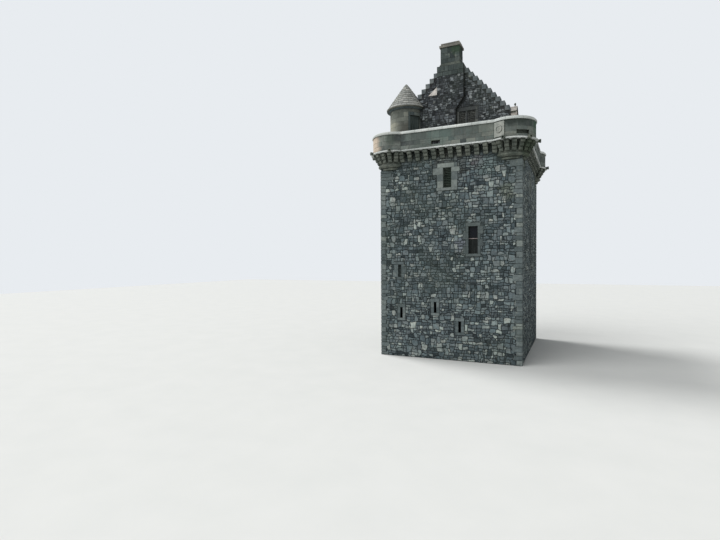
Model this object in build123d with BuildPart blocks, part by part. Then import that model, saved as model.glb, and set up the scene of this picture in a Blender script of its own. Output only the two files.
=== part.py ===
from math import atan, cos, radians, sin, sqrt
import os

from build123d import *

# A small border tower house of rubble stone. Four thick plain walls carry a
# parapet on stone corbels, which swells into an open round at each corner. A
# gabled cap-house stands inside the wall-walk, with a round stair turret at its
# front left corner. Millimetres, with the origin at the centre of the plan on
# the ground, +Z up and the entrance at the back, so the front faces -Y.

# Main walls
tower_width = 8130
tower_depth = 9830
wall_thickness = 1350

# Storeys, from floor to floor
ground_floor_level = 150
ground_storey_height = 5000
hall_storey_height = 3850
chamber_storey_height = 3150
floor_thickness = 250

# Parapet: a ledge on the corbels, a thin wall and a cope
parapet_overhang = 360
parapet_thickness = 300
parapet_height = 900
ledge_height = 100
ledge_edge_height = 55
ledge_projection = 70
round_ledge_projection = 130
cope_height = 170
cope_edge_height = 80
cope_overhang = 60
cope_inner_overhang = 40
cope_slope_width = 80

# Drain slots through the straights, and the blind ones in the two right rounds
slot_width = 510
slot_height = 210
slot_rise = 120
slot_offset = -565
round_slot_azimuth = 34
round_slot_width = 700
round_slot_depth = 200

# Corbels in three rounded courses
corbel_height = 560
corbel_width = 250
corbel_spacing = 485
corbel_courses = 3
corbel_nose_chamfer = 55
round_corbel_width = 230
round_corbel_pitch = 21
round_corbel_count = 8

# Open rounds, struck from a centre inside both wall faces
round_inset = 590
round_radius = 1240
round_drum_radius = 870
round_roll_radius = 60
lower_roll_reach = 760
upper_roll_reach = 920
lower_roll_drop = 970
upper_roll_drop = 770

# Stone spouts that drain the rounds
spout_azimuths = (-11, 46, 101)
spout_rise = 40
spout_radius = 90
spout_bore_radius = 50
spout_facets = 12
spout_lip_radius = 105
spout_lip_length = 60
spout_length = 220
spout_start_radius = 1285
spout_bore_depth = 120

# Carved block on the front right round
block_azimuth = -24.5
block_half_angle = 13.5
block_height = 790
block_rise = 60
block_thickness = 50
boss_radius = 190
boss_facets = 20
boss_thickness = 45
boss_rim = 45

# Cap-house
side_walk_width = 765
front_walk_width = 955
gable_thickness = 600
cap_wall_thickness = 500
walk_flag_thickness = 100
shoulder_rise = 5000
shoulder_half_width = 780
step_rise = 274
step_count = 10
step_projection = 20
roof_drop_below_steps = 120
roof_thickness = 160
eaves_overhang = 120
ridge_half_width = 170
ridge_thickness = 55

# Chimneys
chimney_half_width = 550
chimney_shaft_height = 1050
chimney_foot_spread = 90
chimney_foot_height = 120
chimney_cope_overhang = 70
chimney_cope_height = 120
chimney_cap_inset = 80
chimney_cap_height = 130
flue_width = 420
flue_depth = 300
breast_projection = 210
breast_left = -1320
breast_right_foot = 320
breast_left_rise = 3350
breast_broach_height = 600
breast_corbel_rise = 2390
breast_corbel_height = 680

# Stair turret
turret_inset_x = 450
turret_inset_y = 260
turret_radius = 990
turret_wall_thickness = 230
turret_wall_height = 2700
turret_cornice_height = 80
turret_cornice_reach = 150
turret_eaves_reach = 210
turret_roof_height = 1690
turret_tip_radius = 50
turret_roof_thickness = 110
turret_door_azimuth = 53
turret_door_width = 700
turret_door_rise = 350
turret_door_height = 1960
turret_leaf_thickness = 50
turret_leaf_setback = 110

# Windows: opening width, height and sill above the floor, then the dressed margins
reveal_depth = 250
window_splay = 330
slit_splay = 180
hall_width = 520
hall_height = 1540
hall_sill_rise = 950
chamber_width = 480
chamber_height = 1150
chamber_sill_rise = 900
slit_width = 150
slit_height = 640
blocked_slit_width = 190
blocked_slit_height = 750
hall_margin = 160
hall_margin_sill = 150
hall_margin_head = 200
chamber_margin = 340
chamber_margin_sill = 150
chamber_margin_head = 250
margin_projection = 15
transom_rise = 850
front_hall_window_x = 1470
front_chamber_window_x = 10
front_slits = ((-2785, 2305), (-715, 2680), (715, 1620))
blocked_slit_from_corner = 1180
blocked_slit_sill = 4750
side_slit_sill = 2300
blocking_setback = 70
blocking_thickness = 180

# Joinery in the windows
frame_bar = 45
frame_depth = 70
frame_setback = 120
glass_thickness = 12
shutter_thickness = 35
slat_thickness = 20
slat_pitch = 95
slat_tilt = 40

# Window of two louvred lights in the front gable
gable_window_left = 490
left_light_width = 380
right_light_width = 480
gable_window_rise = 1050
gable_window_height = 1200
gable_mullion_width = 90
gable_mullion_depth = 200

# Entrance at the back: an arched doorway with a plank door
door_width = 1000
door_spring = 1500
door_rebate = 60
door_setback = 350
door_thickness = 75
door_clearance = 5
door_x = -1200

# Dormer on the right slope of the roof
dormer_near_y = -900
dormer_width = 900
dormer_wall_thickness = 170
dormer_eaves_rise = 934
dormer_gable_height = 380
dormer_roof_thickness = 60
dormer_roof_overhang = 60
dormer_window_width = 420
dormer_window_height = 620
dormer_window_rise = 184
finial_ball_radius = 75
finial_facets = 8
finial_ball_taper = 30
finial_neck_radius = 35
finial_neck_height = 60

# Running clearance round curved stonework
joint_gap = 0.3

# Sizes that follow from those above
hall_floor_level = ground_floor_level + ground_storey_height
chamber_floor_level = hall_floor_level + hall_storey_height
wallhead_level = chamber_floor_level + chamber_storey_height
hall_sill = hall_floor_level + hall_sill_rise
chamber_sill = chamber_floor_level + chamber_sill_rise
half_width = tower_width / 2
half_depth = tower_depth / 2
blocked_slit_x = blocked_slit_from_corner - half_width
inner_half_width = half_width - wall_thickness
inner_half_depth = half_depth - wall_thickness
ledge_top = wallhead_level + ledge_height
parapet_top = ledge_top + parapet_height
parapet_reach = round_inset + parapet_overhang
round_x = half_width - round_inset
round_y = round_inset - half_depth
walk_top = wallhead_level + walk_flag_thickness
lower_roll_level = wallhead_level - lower_roll_drop
upper_roll_level = wallhead_level - upper_roll_drop
spout_level = wallhead_level + spout_rise
cap_half_width = half_width - side_walk_width
cap_half_depth = half_depth - front_walk_width
shoulder_level = wallhead_level + shoulder_rise
chimney_top = shoulder_level + chimney_shaft_height
gable_inner = cap_half_depth - gable_thickness
cap_inner_half_width = cap_half_width - cap_wall_thickness
step_run = (cap_half_width - shoulder_half_width) / step_count
pitch = step_rise / step_run
roof_peak = shoulder_level - step_rise + shoulder_half_width * pitch - roof_drop_below_steps
roof_foot_level = roof_peak - cap_half_width * pitch
roof_vertical = roof_thickness / cos(atan(pitch))
breast_left_shoulder_level = wallhead_level + breast_left_rise
breast_broach_top = breast_left_shoulder_level + breast_broach_height
breast_corbel_foot = wallhead_level + breast_corbel_rise
breast_corbel_top = breast_corbel_foot + breast_corbel_height
turret_x = turret_inset_x - cap_half_width
turret_y = turret_inset_y - cap_half_depth
turret_wall_top = wallhead_level + turret_wall_height
turret_door_sill = wallhead_level + turret_door_rise
turret_eaves_level = turret_wall_top + turret_cornice_height
turret_eaves_radius = turret_radius + turret_eaves_reach
turret_apex = turret_eaves_level + turret_roof_height
turret_void_top = turret_apex - 4 * turret_roof_thickness
gable_window_sill = wallhead_level + gable_window_rise
gable_window_width = left_light_width + gable_mullion_width + right_light_width
gable_window_right = gable_window_left + gable_window_width
gable_mullion_x = gable_window_left + left_light_width + gable_mullion_width / 2
dormer_eaves_level = roof_foot_level + dormer_eaves_rise
dormer_ridge_level = dormer_eaves_level + dormer_gable_height
dormer_window_sill = roof_foot_level + dormer_window_rise
far = tower_width

os.makedirs("parts", exist_ok=True)


def keep(piece, name):
    """Labels a finished sub-part and writes it."""
    piece.part.label = name
    export_step(piece.part, f"parts/{name}.step")


def side_place(side, along, height=0):
    """The place of a piece made for the front wall, whose outer face is its XZ plane."""
    if side == "front":
        return Location((along, -half_depth, height))
    if side == "right":
        return Location((half_width, along, height), (0, 0, 90))
    if side == "rear":
        return Location((-along, half_depth, height), (0, 0, 180))
    return Location((-half_width, -along, height), (0, 0, -90))


def roof_level(x):
    """The level of the roof's upper surface at a distance from the ridge."""
    return roof_peak - abs(x) * pitch


def window_hole(width, height, splay):
    """An opening through a wall: straight through the reveal, then splayed inwards."""
    with BuildPart() as hole:
        with BuildSketch(Plane.XY):
            with BuildLine():
                Polyline(
                    (-width / 2, -margin_projection),
                    (width / 2, -margin_projection),
                    (width / 2, reveal_depth),
                    (width / 2 + splay, wall_thickness),
                    (-width / 2 - splay, wall_thickness),
                    (-width / 2, reveal_depth),
                    close=True,
                )
            make_face()
        extrude(amount=height)
    return hole.part


def margin_block(width, height, side_margin, sill_margin, head_margin):
    """The solid outline of the dressed stones round a window, its sill at level 0."""
    with BuildPart() as block:
        with BuildSketch(Plane.XZ.offset(margin_projection)):
            with Locations((0, (height + head_margin - sill_margin) / 2)):
                Rectangle(width + 2 * side_margin, height + head_margin + sill_margin)
        extrude(amount=-(margin_projection + reveal_depth))
    return block.part


# Where each kind of window stands: the side, the distance along it
hall_places = [side_place("front", front_hall_window_x, hall_sill)]
chamber_places = [side_place("front", front_chamber_window_x, chamber_sill)]
for side in ("right", "rear", "left"):
    hall_places.append(side_place(side, 0, hall_sill))
    chamber_places.append(side_place(side, 0, chamber_sill))
slit_places = [side_place("front", x, sill) for x, sill in front_slits]
slit_places.append(side_place("right", 0, side_slit_sill))
slit_places.append(side_place("left", 0, side_slit_sill))
blocked_place = side_place("front", blocked_slit_x, blocked_slit_sill)

hall_hole = window_hole(hall_width, hall_height, window_splay)
chamber_hole = window_hole(chamber_width, chamber_height, window_splay)
slit_hole = window_hole(slit_width, slit_height, slit_splay)
blocked_hole = window_hole(blocked_slit_width, blocked_slit_height, slit_splay)
hall_block = margin_block(
    hall_width, hall_height, hall_margin, hall_margin_sill, hall_margin_head
)
chamber_block = margin_block(
    chamber_width, chamber_height, chamber_margin, chamber_margin_sill, chamber_margin_head
)

# The holes of all four walls, which each wall takes its own share of
wall_holes = (
    (hall_hole, hall_places),
    (hall_block, hall_places),
    (chamber_hole, chamber_places),
    (chamber_block, chamber_places),
    (slit_hole, slit_places),
    (blocked_hole, [blocked_place]),
)


# Arched doorway through the back wall, rebated for its door
def door_outline(half, start, length):
    """A prism with a round arched top, running inwards from a depth in the wall."""
    with BuildPart() as outline:
        with BuildSketch(Plane.XZ.offset(-start)):
            with BuildLine():
                Line((half, door_spring), (half, 0))
                Line((half, 0), (-half, 0))
                Line((-half, 0), (-half, door_spring))
                CenterArc((0, door_spring), half, 0, 180)
            make_face()
        extrude(amount=-length)
    return outline.part


door_place = side_place("rear", door_x)
door_front_hole = door_outline(door_width / 2, 0, door_setback)
door_back_hole = door_outline(
    door_width / 2 + door_rebate, door_setback, wall_thickness - door_setback
)

# The front and rear walls are the full width, and the side walls stand between them
for name, centre, size in (
    ("front_wall", (0, wall_thickness / 2 - half_depth), (tower_width, wall_thickness)),
    ("rear_wall", (0, half_depth - wall_thickness / 2), (tower_width, wall_thickness)),
    ("left_wall", (wall_thickness / 2 - half_width, 0), (wall_thickness, 2 * inner_half_depth)),
    ("right_wall", (half_width - wall_thickness / 2, 0), (wall_thickness, 2 * inner_half_depth)),
):
    with BuildPart() as wall:
        with BuildSketch(Plane.XY):
            with Locations(centre):
                Rectangle(*size)
        extrude(amount=wallhead_level)
        for hole, places in wall_holes:
            with Locations(*places):
                add(hole, mode=Mode.SUBTRACT)
        with Locations(door_place):
            add(door_front_hole, mode=Mode.SUBTRACT)
            add(door_back_hole, mode=Mode.SUBTRACT)
    keep(wall, name)

with BuildPart() as entrance_door:
    leaf = door_outline(
        door_width / 2 + door_rebate - door_clearance,
        door_setback + joint_gap,
        door_thickness,
    )
    with Locations(door_place):
        add(leaf)
keep(entrance_door, "entrance_door")

# Floors between the walls
for name, level, thickness in (
    ("ground_floor", ground_floor_level, ground_floor_level),
    ("hall_floor", hall_floor_level, floor_thickness),
    ("chamber_floor", chamber_floor_level, floor_thickness),
    ("garret_floor", wallhead_level, floor_thickness),
):
    with BuildPart() as floor:
        with BuildSketch(Plane.XY.offset(level - thickness)):
            Rectangle(2 * inner_half_width, 2 * inner_half_depth)
        extrude(amount=thickness)
    keep(floor, name)

# Dressed margins of the windows
for name, block, hole, places in (
    ("hall_window_margins", hall_block, hall_hole, hall_places),
    ("chamber_window_margins", chamber_block, chamber_hole, chamber_places),
):
    with BuildPart() as margins:
        with Locations(*places):
            add(block)
            add(hole, mode=Mode.SUBTRACT)
    keep(margins, name)

with BuildPart() as slit_blocking:
    with BuildSketch(Plane.XY.offset(blocked_slit_sill)):
        with Locations((blocked_slit_x, blocking_setback + blocking_thickness / 2 - half_depth)):
            Rectangle(blocked_slit_width, blocking_thickness)
    extrude(amount=blocked_slit_height)
keep(slit_blocking, "slit_blocking")


def louvre(width, height):
    """A timber frame with tilted slats housed in it, its foot at level 0."""
    with BuildPart() as panel:
        with BuildSketch(Plane.XZ.offset(-frame_setback)):
            with Locations((0, height / 2)):
                Rectangle(width, height)
                Rectangle(width - 2 * frame_bar, height - 2 * frame_bar, mode=Mode.SUBTRACT)
        extrude(amount=-frame_depth)
        slats = int((height - 2 * frame_bar) / slat_pitch)
        spacing = (height - 2 * frame_bar) / slats
        for index in range(slats):
            level = frame_bar + (index + 0.5) * spacing
            slat_plane = Plane(
                origin=(0, frame_setback + frame_depth / 2, level),
                x_dir=(1, 0, 0),
                z_dir=(0, sin(radians(slat_tilt)), cos(radians(slat_tilt))),
            )
            with BuildSketch(slat_plane):
                Rectangle(width - frame_bar, frame_depth)
            extrude(amount=slat_thickness / 2, both=True)
    return panel.part


with BuildPart() as chamber_louvres:
    chamber_panel = louvre(chamber_width, chamber_height)
    with Locations(*chamber_places):
        add(chamber_panel)
keep(chamber_louvres, "chamber_louvres")

# Hall windows: fixed glass above a transom, boarded shutters below it
with BuildPart() as hall_frame:
    with BuildSketch(Plane.XZ.offset(-frame_setback)):
        with Locations((0, hall_height / 2)):
            Rectangle(hall_width, hall_height)
            Rectangle(hall_width - 2 * frame_bar, hall_height - 2 * frame_bar, mode=Mode.SUBTRACT)
        with Locations((0, transom_rise)):
            Rectangle(hall_width, 2 * frame_bar)
    extrude(amount=-frame_depth)
with BuildPart() as hall_frames:
    with Locations(*hall_places):
        add(hall_frame.part)
keep(hall_frames, "hall_window_frames")

glass_height = hall_height - transom_rise - 2 * frame_bar
with BuildPart() as pane:
    with BuildSketch(Plane.XZ.offset(-frame_setback - frame_depth / 2)):
        with Locations((0, transom_rise + frame_bar + glass_height / 2)):
            Rectangle(hall_width - 2 * frame_bar, glass_height)
    extrude(amount=-glass_thickness)
with BuildPart() as hall_glass:
    with Locations(*hall_places):
        add(pane.part)
keep(hall_glass, "hall_window_glass")

shutter_height = transom_rise - 2 * frame_bar
with BuildPart() as shutter:
    with BuildSketch(Plane.XZ.offset(-frame_setback - frame_bar / 2)):
        with Locations((0, frame_bar + shutter_height / 2)):
            Rectangle(hall_width - 2 * frame_bar, shutter_height)
    extrude(amount=-shutter_thickness)
with BuildPart() as hall_shutters:
    with Locations(*hall_places):
        add(shutter.part)
keep(hall_shutters, "hall_window_shutters")

# A corbel for a straight wall: each course steps out with a rounded nose
course_height = corbel_height / corbel_courses
course_reach = parapet_overhang / corbel_courses


def corbel(width, tail):
    """A corbel facing -Y from the plane y = 0, with a tail behind that plane."""
    foot = wallhead_level - corbel_height
    outline = [(tail, wallhead_level), (tail, foot)]
    for course in range(corbel_courses):
        level = foot + course * course_height
        if course or tail:
            outline.append((-course * course_reach, level))
        outline.append((-(course + 1) * course_reach, level))
    outline.append((-parapet_overhang, wallhead_level))
    with BuildPart() as stone:
        with BuildSketch(Plane.YZ.offset(-width / 2)) as profile:
            with BuildLine():
                Polyline(*outline, close=True)
            make_face()
            levels = profile.vertices().group_by(Axis.Y)[:-1]
            noses = [level.sort_by(Axis.X)[0] for level in levels]
            chamfer(noses, length=corbel_nose_chamfer)
        extrude(amount=width)
    return stone.part


# Straight rows of corbels, clear of the rounds at both ends
wall_corbel = corbel(corbel_width, 0)
round_end_reach = sqrt(round_drum_radius**2 - round_inset**2)
corbel_places = []
for side, length in (
    ("front", tower_width),
    ("rear", tower_width),
    ("left", tower_depth),
    ("right", tower_depth),
):
    clear_half = length / 2 - round_inset - round_end_reach - corbel_width / 2
    pairs = int(clear_half / corbel_spacing + 0.5)
    for index in range(-pairs, pairs):
        corbel_places.append(side_place(side, (index + 0.5) * corbel_spacing))
with BuildPart() as wall_corbels:
    with Locations(*corbel_places):
        add(wall_corbel)
keep(wall_corbels, "wall_corbels")


def at_round(radius, azimuth, level=0):
    """A point on the front right round, its azimuth counted from -Y towards +X."""
    turn = radians(azimuth)
    return (round_x + radius * sin(turn), round_y - radius * cos(turn), level)


def reach_of(offset):
    """Half the length that a straight takes from a round's centre line, at an offset."""
    return sqrt((round_radius + offset) ** 2 - (parapet_reach + offset) ** 2)


# The ground that belongs to the front right round: it mitres with both straights
mitre_outer = (-reach_of(0), parapet_reach)
mitre_inner = (-reach_of(-parapet_thickness), parapet_reach - parapet_thickness)
mitre_slope = (mitre_outer[0] - mitre_inner[0]) / (mitre_outer[1] - mitre_inner[1])
mitre_far = (mitre_outer[0] + mitre_slope * parapet_reach, 2 * parapet_reach)
mitre_near = (
    mitre_inner[0] - mitre_slope * (mitre_inner[1] - round_inset),
    round_inset,
)
region_outline = [
    (0, 0),
    mitre_near,
    mitre_far,
    (mitre_far[1], mitre_far[1]),
    mitre_far[::-1],
    mitre_near[::-1],
]
with BuildPart() as round_region:
    with BuildSketch(Plane.XY):
        with BuildLine():
            Polyline(*[(round_x + a, round_y - b) for a, b in region_outline], close=True)
        make_face()
    extrude(amount=2 * wallhead_level)

with BuildPart() as all_regions:
    add(round_region.part)
    mirror(about=Plane.YZ)
    mirror(about=Plane.XZ)

with BuildPart() as wall_core:
    with BuildSketch(Plane.XY):
        Rectangle(tower_width, tower_depth)
    extrude(amount=wallhead_level + ledge_height)


def round_ring(outline, region=True):
    """A profile of radius and level, turned about the centre of the front right round."""
    with BuildPart() as ring:
        with BuildSketch(Plane.XZ.offset(-round_y)):
            with BuildLine():
                Polyline(*[(round_x + radius, level) for radius, level in outline], close=True)
            make_face()
        revolve(axis=Axis((round_x, round_y, 0), (0, 0, 1)))
        if region:
            add(round_region.part, mode=Mode.INTERSECT)
    return ring.part


def straight_bar(side, outline):
    """A profile of reach from the wall face and level, run along one side."""
    length = tower_width if side in ("front", "rear") else tower_depth
    with BuildPart() as bar:
        with BuildSketch(Plane.YZ.offset(-length / 2)):
            with BuildLine():
                Polyline(*[(-reach, level) for reach, level in outline], close=True)
            make_face()
        extrude(amount=length)
    with BuildPart() as placed:
        with Locations(side_place(side, 0)):
            add(bar.part)
        add(all_regions.part, mode=Mode.SUBTRACT)
    return placed.part


def four_rounds(template, name):
    """Writes a piece of the front right round, repeated on all four, as one node."""
    with BuildPart() as pieces:
        add(template)
        mirror(about=Plane.YZ)
        mirror(about=Plane.XZ)
    keep(pieces, name)


# Moulded foot of each round: two rolls with a hollow between, under a plain drum
with BuildPart() as round_foot:
    with BuildSketch(Plane.XZ.offset(-round_y)):
        with BuildLine():
            roll = round_roll_radius
            bevel = 0.6 * roll
            outline = [(round_x, wallhead_level), (round_x, lower_roll_level)]
            for reach, level in (
                (lower_roll_reach, lower_roll_level),
                (upper_roll_reach, upper_roll_level),
            ):
                outline.append((round_x + reach - bevel, level))
                outline.append((round_x + reach, level + bevel))
                outline.append((round_x + reach, level + 2 * roll - bevel))
                outline.append((round_x + reach - bevel, level + 2 * roll))
            outline.append((round_x + round_drum_radius - joint_gap, upper_roll_level + 2 * roll))
            outline.append((round_x + round_drum_radius - joint_gap, wallhead_level))
            Polyline(*outline, close=True)
        make_face()
    revolve(axis=Axis((round_x, round_y, 0), (0, 0, 1)))
    add(wall_core.part, mode=Mode.SUBTRACT)
four_rounds(round_foot.part, "round_feet")

# Corbels fanned round each drum
drum_corbel = corbel(round_corbel_width, round_drum_radius / 4)
fan = []
for index in range(round_corbel_count):
    azimuth = 45 + (index - (round_corbel_count - 1) / 2) * round_corbel_pitch
    fan.append(Location(at_round(round_drum_radius, azimuth), (0, 0, azimuth)))
with BuildPart() as round_corbels:
    with Locations(*fan):
        add(drum_corbel)
    with BuildSketch(Plane.XY):
        with Locations((round_x, round_y)):
            Circle(round_drum_radius)
    extrude(amount=wallhead_level, mode=Mode.SUBTRACT)
four_rounds(round_corbels.part, "round_corbels")

# Ledge: weathered outside the parapet, flat under it
straight_ledge_outline = (
    (0, wallhead_level),
    (parapet_overhang + ledge_projection, wallhead_level),
    (parapet_overhang + ledge_projection, wallhead_level + ledge_edge_height),
    (parapet_overhang, ledge_top),
    (0, ledge_top),
)
with BuildPart() as straight_ledges:
    for side in ("front", "right", "rear", "left"):
        add(straight_bar(side, straight_ledge_outline))
keep(straight_ledges, "straight_ledges")

round_ledge = round_ring(
    (
        (0, wallhead_level),
        (round_radius + round_ledge_projection, wallhead_level),
        (round_radius + round_ledge_projection, wallhead_level + ledge_edge_height),
        (round_radius, ledge_top),
        (0, ledge_top),
    )
)


def radial_plane(centre, radius, azimuth, level):
    """An upright plane facing out from a round centre, its azimuth from -Y towards +X."""
    turn = radians(azimuth)
    return Plane(
        origin=(centre[0] + radius * sin(turn), centre[1] - radius * cos(turn), level),
        x_dir=(cos(turn), sin(turn), 0),
        z_dir=(sin(turn), -cos(turn), 0),
    )


round_centre = (round_x, round_y)

# Spouts lie through the edge of the ledge
with BuildPart() as spout_set:
    for azimuth in spout_azimuths:
        lip_start = spout_start_radius + spout_length - spout_lip_length
        bore_start = spout_start_radius + spout_length - spout_bore_depth
        with BuildSketch(radial_plane(round_centre, spout_start_radius, azimuth, spout_level)):
            RegularPolygon(spout_radius, spout_facets)
        extrude(amount=spout_length)
        with BuildSketch(radial_plane(round_centre, lip_start, azimuth, spout_level)):
            RegularPolygon(spout_lip_radius, spout_facets)
        extrude(amount=spout_lip_length)
        with BuildSketch(radial_plane(round_centre, bore_start, azimuth, spout_level)):
            RegularPolygon(spout_bore_radius, spout_facets)
        extrude(amount=spout_bore_depth, mode=Mode.SUBTRACT)
four_rounds(spout_set.part, "stone_spouts")

with BuildPart() as notched_ledge:
    add(round_ledge)
    add(wall_core.part, mode=Mode.SUBTRACT)
    for azimuth in spout_azimuths:
        seat = spout_start_radius - joint_gap
        with BuildSketch(radial_plane(round_centre, seat, azimuth, spout_level)):
            RegularPolygon(spout_radius + joint_gap, spout_facets)
        extrude(amount=spout_length, mode=Mode.SUBTRACT)
four_rounds(notched_ledge.part, "round_ledges")

# Parapet wall, with a drain slot in every straight and a blind one in the right rounds
parapet_inner_reach = parapet_overhang - parapet_thickness
slot_middle = ledge_top + slot_rise + slot_height / 2
with BuildPart() as straight_slot:
    with BuildSketch(Plane.XZ.offset(parapet_overhang)):
        with Locations((slot_offset, slot_middle)):
            Rectangle(slot_width, slot_height)
    extrude(amount=-parapet_thickness)
for side in ("front", "right", "rear", "left"):
    wall_bar = straight_bar(
        side,
        (
            (parapet_inner_reach, ledge_top),
            (parapet_overhang, ledge_top),
            (parapet_overhang, parapet_top),
            (parapet_inner_reach, parapet_top),
        ),
    )
    with BuildPart() as straight_parapet:
        add(wall_bar)
        with Locations(side_place(side, 0)):
            add(straight_slot.part, mode=Mode.SUBTRACT)
    keep(straight_parapet, f"{side}_parapet")

round_wall = round_ring(
    (
        (round_radius - parapet_thickness, ledge_top),
        (round_radius, ledge_top),
        (round_radius, parapet_top),
        (round_radius - parapet_thickness, parapet_top),
    )
)
slot_back = round_radius - round_slot_depth
for name, mirrors, slotted in (
    ("front_right", (), True),
    ("front_left", (Plane.YZ,), False),
    ("rear_right", (Plane.XZ,), True),
    ("rear_left", (Plane.YZ, Plane.XZ), False),
):
    with BuildPart() as round_parapet:
        add(round_wall)
        if slotted:
            with BuildSketch(
                radial_plane(round_centre, slot_back, round_slot_azimuth, slot_middle)
            ):
                Rectangle(round_slot_width, slot_height)
            extrude(amount=round_radius, mode=Mode.SUBTRACT)
        for plane in mirrors:
            mirror(about=plane, mode=Mode.REPLACE)
    keep(round_parapet, f"{name}_round")

# Cope, weathered to both sides
cope_outline = (
    (parapet_inner_reach - cope_inner_overhang, parapet_top),
    (parapet_overhang + cope_overhang, parapet_top),
    (parapet_overhang + cope_overhang, parapet_top + cope_edge_height),
    (parapet_overhang + cope_overhang - cope_slope_width, parapet_top + cope_height),
    (parapet_inner_reach - cope_inner_overhang + cope_slope_width, parapet_top + cope_height),
    (parapet_inner_reach - cope_inner_overhang, parapet_top + cope_edge_height),
)
with BuildPart() as straight_copes:
    for side in ("front", "right", "rear", "left"):
        add(straight_bar(side, cope_outline))
keep(straight_copes, "straight_copes")

round_cope = round_ring(
    [(round_radius - parapet_overhang + reach, level) for reach, level in cope_outline]
)
four_rounds(round_cope, "round_copes")

# Carved block on the face of the front right round, with a plain round boss
block_level = ledge_top + block_rise
with BuildPart() as carved_block:
    with BuildSketch(Plane.XY.offset(block_level)):
        with BuildLine():
            turn = block_azimuth - block_half_angle - 90
            sweep_angle = 2 * block_half_angle
            outer = CenterArc(round_centre, round_radius + block_thickness, turn, sweep_angle)
            inner = CenterArc(round_centre, round_radius + joint_gap, turn, sweep_angle)
            Line(outer @ 0, inner @ 0)
            Line(outer @ 1, inner @ 1)
        make_face()
    extrude(amount=block_height)
    boss_level = block_level + block_height / 2
    boss_root = round_radius + block_thickness / 2
    boss_plane = radial_plane(round_centre, boss_root, block_azimuth, boss_level)
    with BuildSketch(boss_plane):
        RegularPolygon(boss_radius, boss_facets)
    extrude(amount=block_thickness / 2 + boss_thickness)
    with BuildSketch(boss_plane.offset(block_thickness / 2 + boss_thickness / 2)):
        RegularPolygon(boss_radius - boss_rim, boss_facets)
        RegularPolygon(boss_rim, boss_facets, mode=Mode.SUBTRACT)
    extrude(amount=boss_thickness / 2, mode=Mode.SUBTRACT)
keep(carved_block, "carved_block")

# The room that the stair turret takes out of the cap-house
turret_centre = (turret_x, turret_y)
turret_axis = Axis((turret_x, turret_y, 0), (0, 0, 1))
turret_eaves_edge = turret_roof_thickness / 2
with BuildPart() as turret_room:
    with BuildSketch(Plane.XZ.offset(-turret_y)):
        with BuildLine():
            Polyline(
                (turret_x, 0),
                (turret_x + turret_radius + joint_gap, 0),
                (turret_x + turret_radius + joint_gap, turret_wall_top - joint_gap),
                (turret_x + turret_eaves_radius + joint_gap, turret_wall_top - joint_gap),
                (
                    turret_x + turret_eaves_radius + joint_gap,
                    turret_eaves_level + turret_eaves_edge + joint_gap,
                ),
                (turret_x + turret_tip_radius + joint_gap, turret_apex + joint_gap),
                (turret_x, turret_apex + joint_gap),
                close=True,
            )
        make_face()
    revolve(axis=turret_axis)

# Flags of the wall-walk, all round the cap-house
with BuildPart() as wall_walk:
    with BuildSketch(Plane.XY.offset(wallhead_level)):
        Rectangle(tower_width, tower_depth)
        Rectangle(2 * cap_half_width, 2 * cap_half_depth, mode=Mode.SUBTRACT)
    extrude(amount=walk_flag_thickness)
    add(turret_room.part, mode=Mode.SUBTRACT)
keep(wall_walk, "wall_walk")

# Gables: the wall is stepped, and a crow-step stone sits on each step
step_x = [shoulder_half_width + index * step_run for index in range(-1, step_count + 1)]
step_z = [shoulder_level - index * step_rise for index in range(step_count + 2)]
right_edge = [(step_x[0], shoulder_level)]
for index in range(step_count + 1):
    right_edge.append((step_x[index], step_z[index + 1]))
    right_edge.append((step_x[index + 1], step_z[index + 1]))
right_edge.append((cap_half_width, wallhead_level))
gable_outline = right_edge + [(-x, z) for x, z in reversed(right_edge)]

with BuildPart() as step_stones:
    for index in range(step_count + 1):
        middle = (step_x[index] + step_x[index + 1]) / 2
        with BuildSketch(Plane.XZ.offset(cap_half_depth + step_projection)):
            with Locations((middle, (step_z[index] + step_z[index + 1]) / 2)):
                Rectangle(step_run, step_rise)
        extrude(amount=-(gable_thickness + step_projection))
    mirror(about=Plane.YZ)

with BuildPart() as gable_wall:
    with BuildSketch(Plane.XZ.offset(cap_half_depth)):
        with BuildLine():
            Polyline(*gable_outline, close=True)
        make_face()
    extrude(amount=-gable_thickness)

with BuildPart() as front_gable:
    add(gable_wall.part)
    with BuildSketch(Plane.XZ.offset(cap_half_depth)):
        with Locations(
            (
                gable_window_left + gable_window_width / 2,
                gable_window_sill + gable_window_height / 2,
            )
        ):
            Rectangle(gable_window_width, gable_window_height)
    extrude(amount=-gable_thickness, mode=Mode.SUBTRACT)
    add(turret_room.part, mode=Mode.SUBTRACT)
keep(front_gable, "front_gable")

with BuildPart() as rear_gable:
    add(gable_wall.part)
    mirror(about=Plane.XZ, mode=Mode.REPLACE)
keep(rear_gable, "rear_gable")

with BuildPart() as rear_crowsteps:
    add(step_stones.part)
    mirror(about=Plane.XZ, mode=Mode.REPLACE)
keep(rear_crowsteps, "rear_crowsteps")

# Two louvred lights in the front gable, either side of a stone mullion
left_light = louvre(left_light_width, gable_window_height)
right_light = louvre(right_light_width, gable_window_height)
with BuildPart() as gable_louvres:
    with Locations((gable_window_left + left_light_width / 2, -cap_half_depth, gable_window_sill)):
        add(left_light)
    with Locations((gable_window_right - right_light_width / 2, -cap_half_depth, gable_window_sill)):
        add(right_light)
keep(gable_louvres, "gable_louvres")

with BuildPart() as gable_mullion:
    with BuildSketch(Plane.XZ.offset(cap_half_depth)):
        with Locations((gable_mullion_x, gable_window_sill + gable_window_height / 2)):
            Rectangle(gable_mullion_width, gable_window_height)
    extrude(amount=-gable_mullion_depth)
keep(gable_mullion, "gable_mullion")

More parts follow.
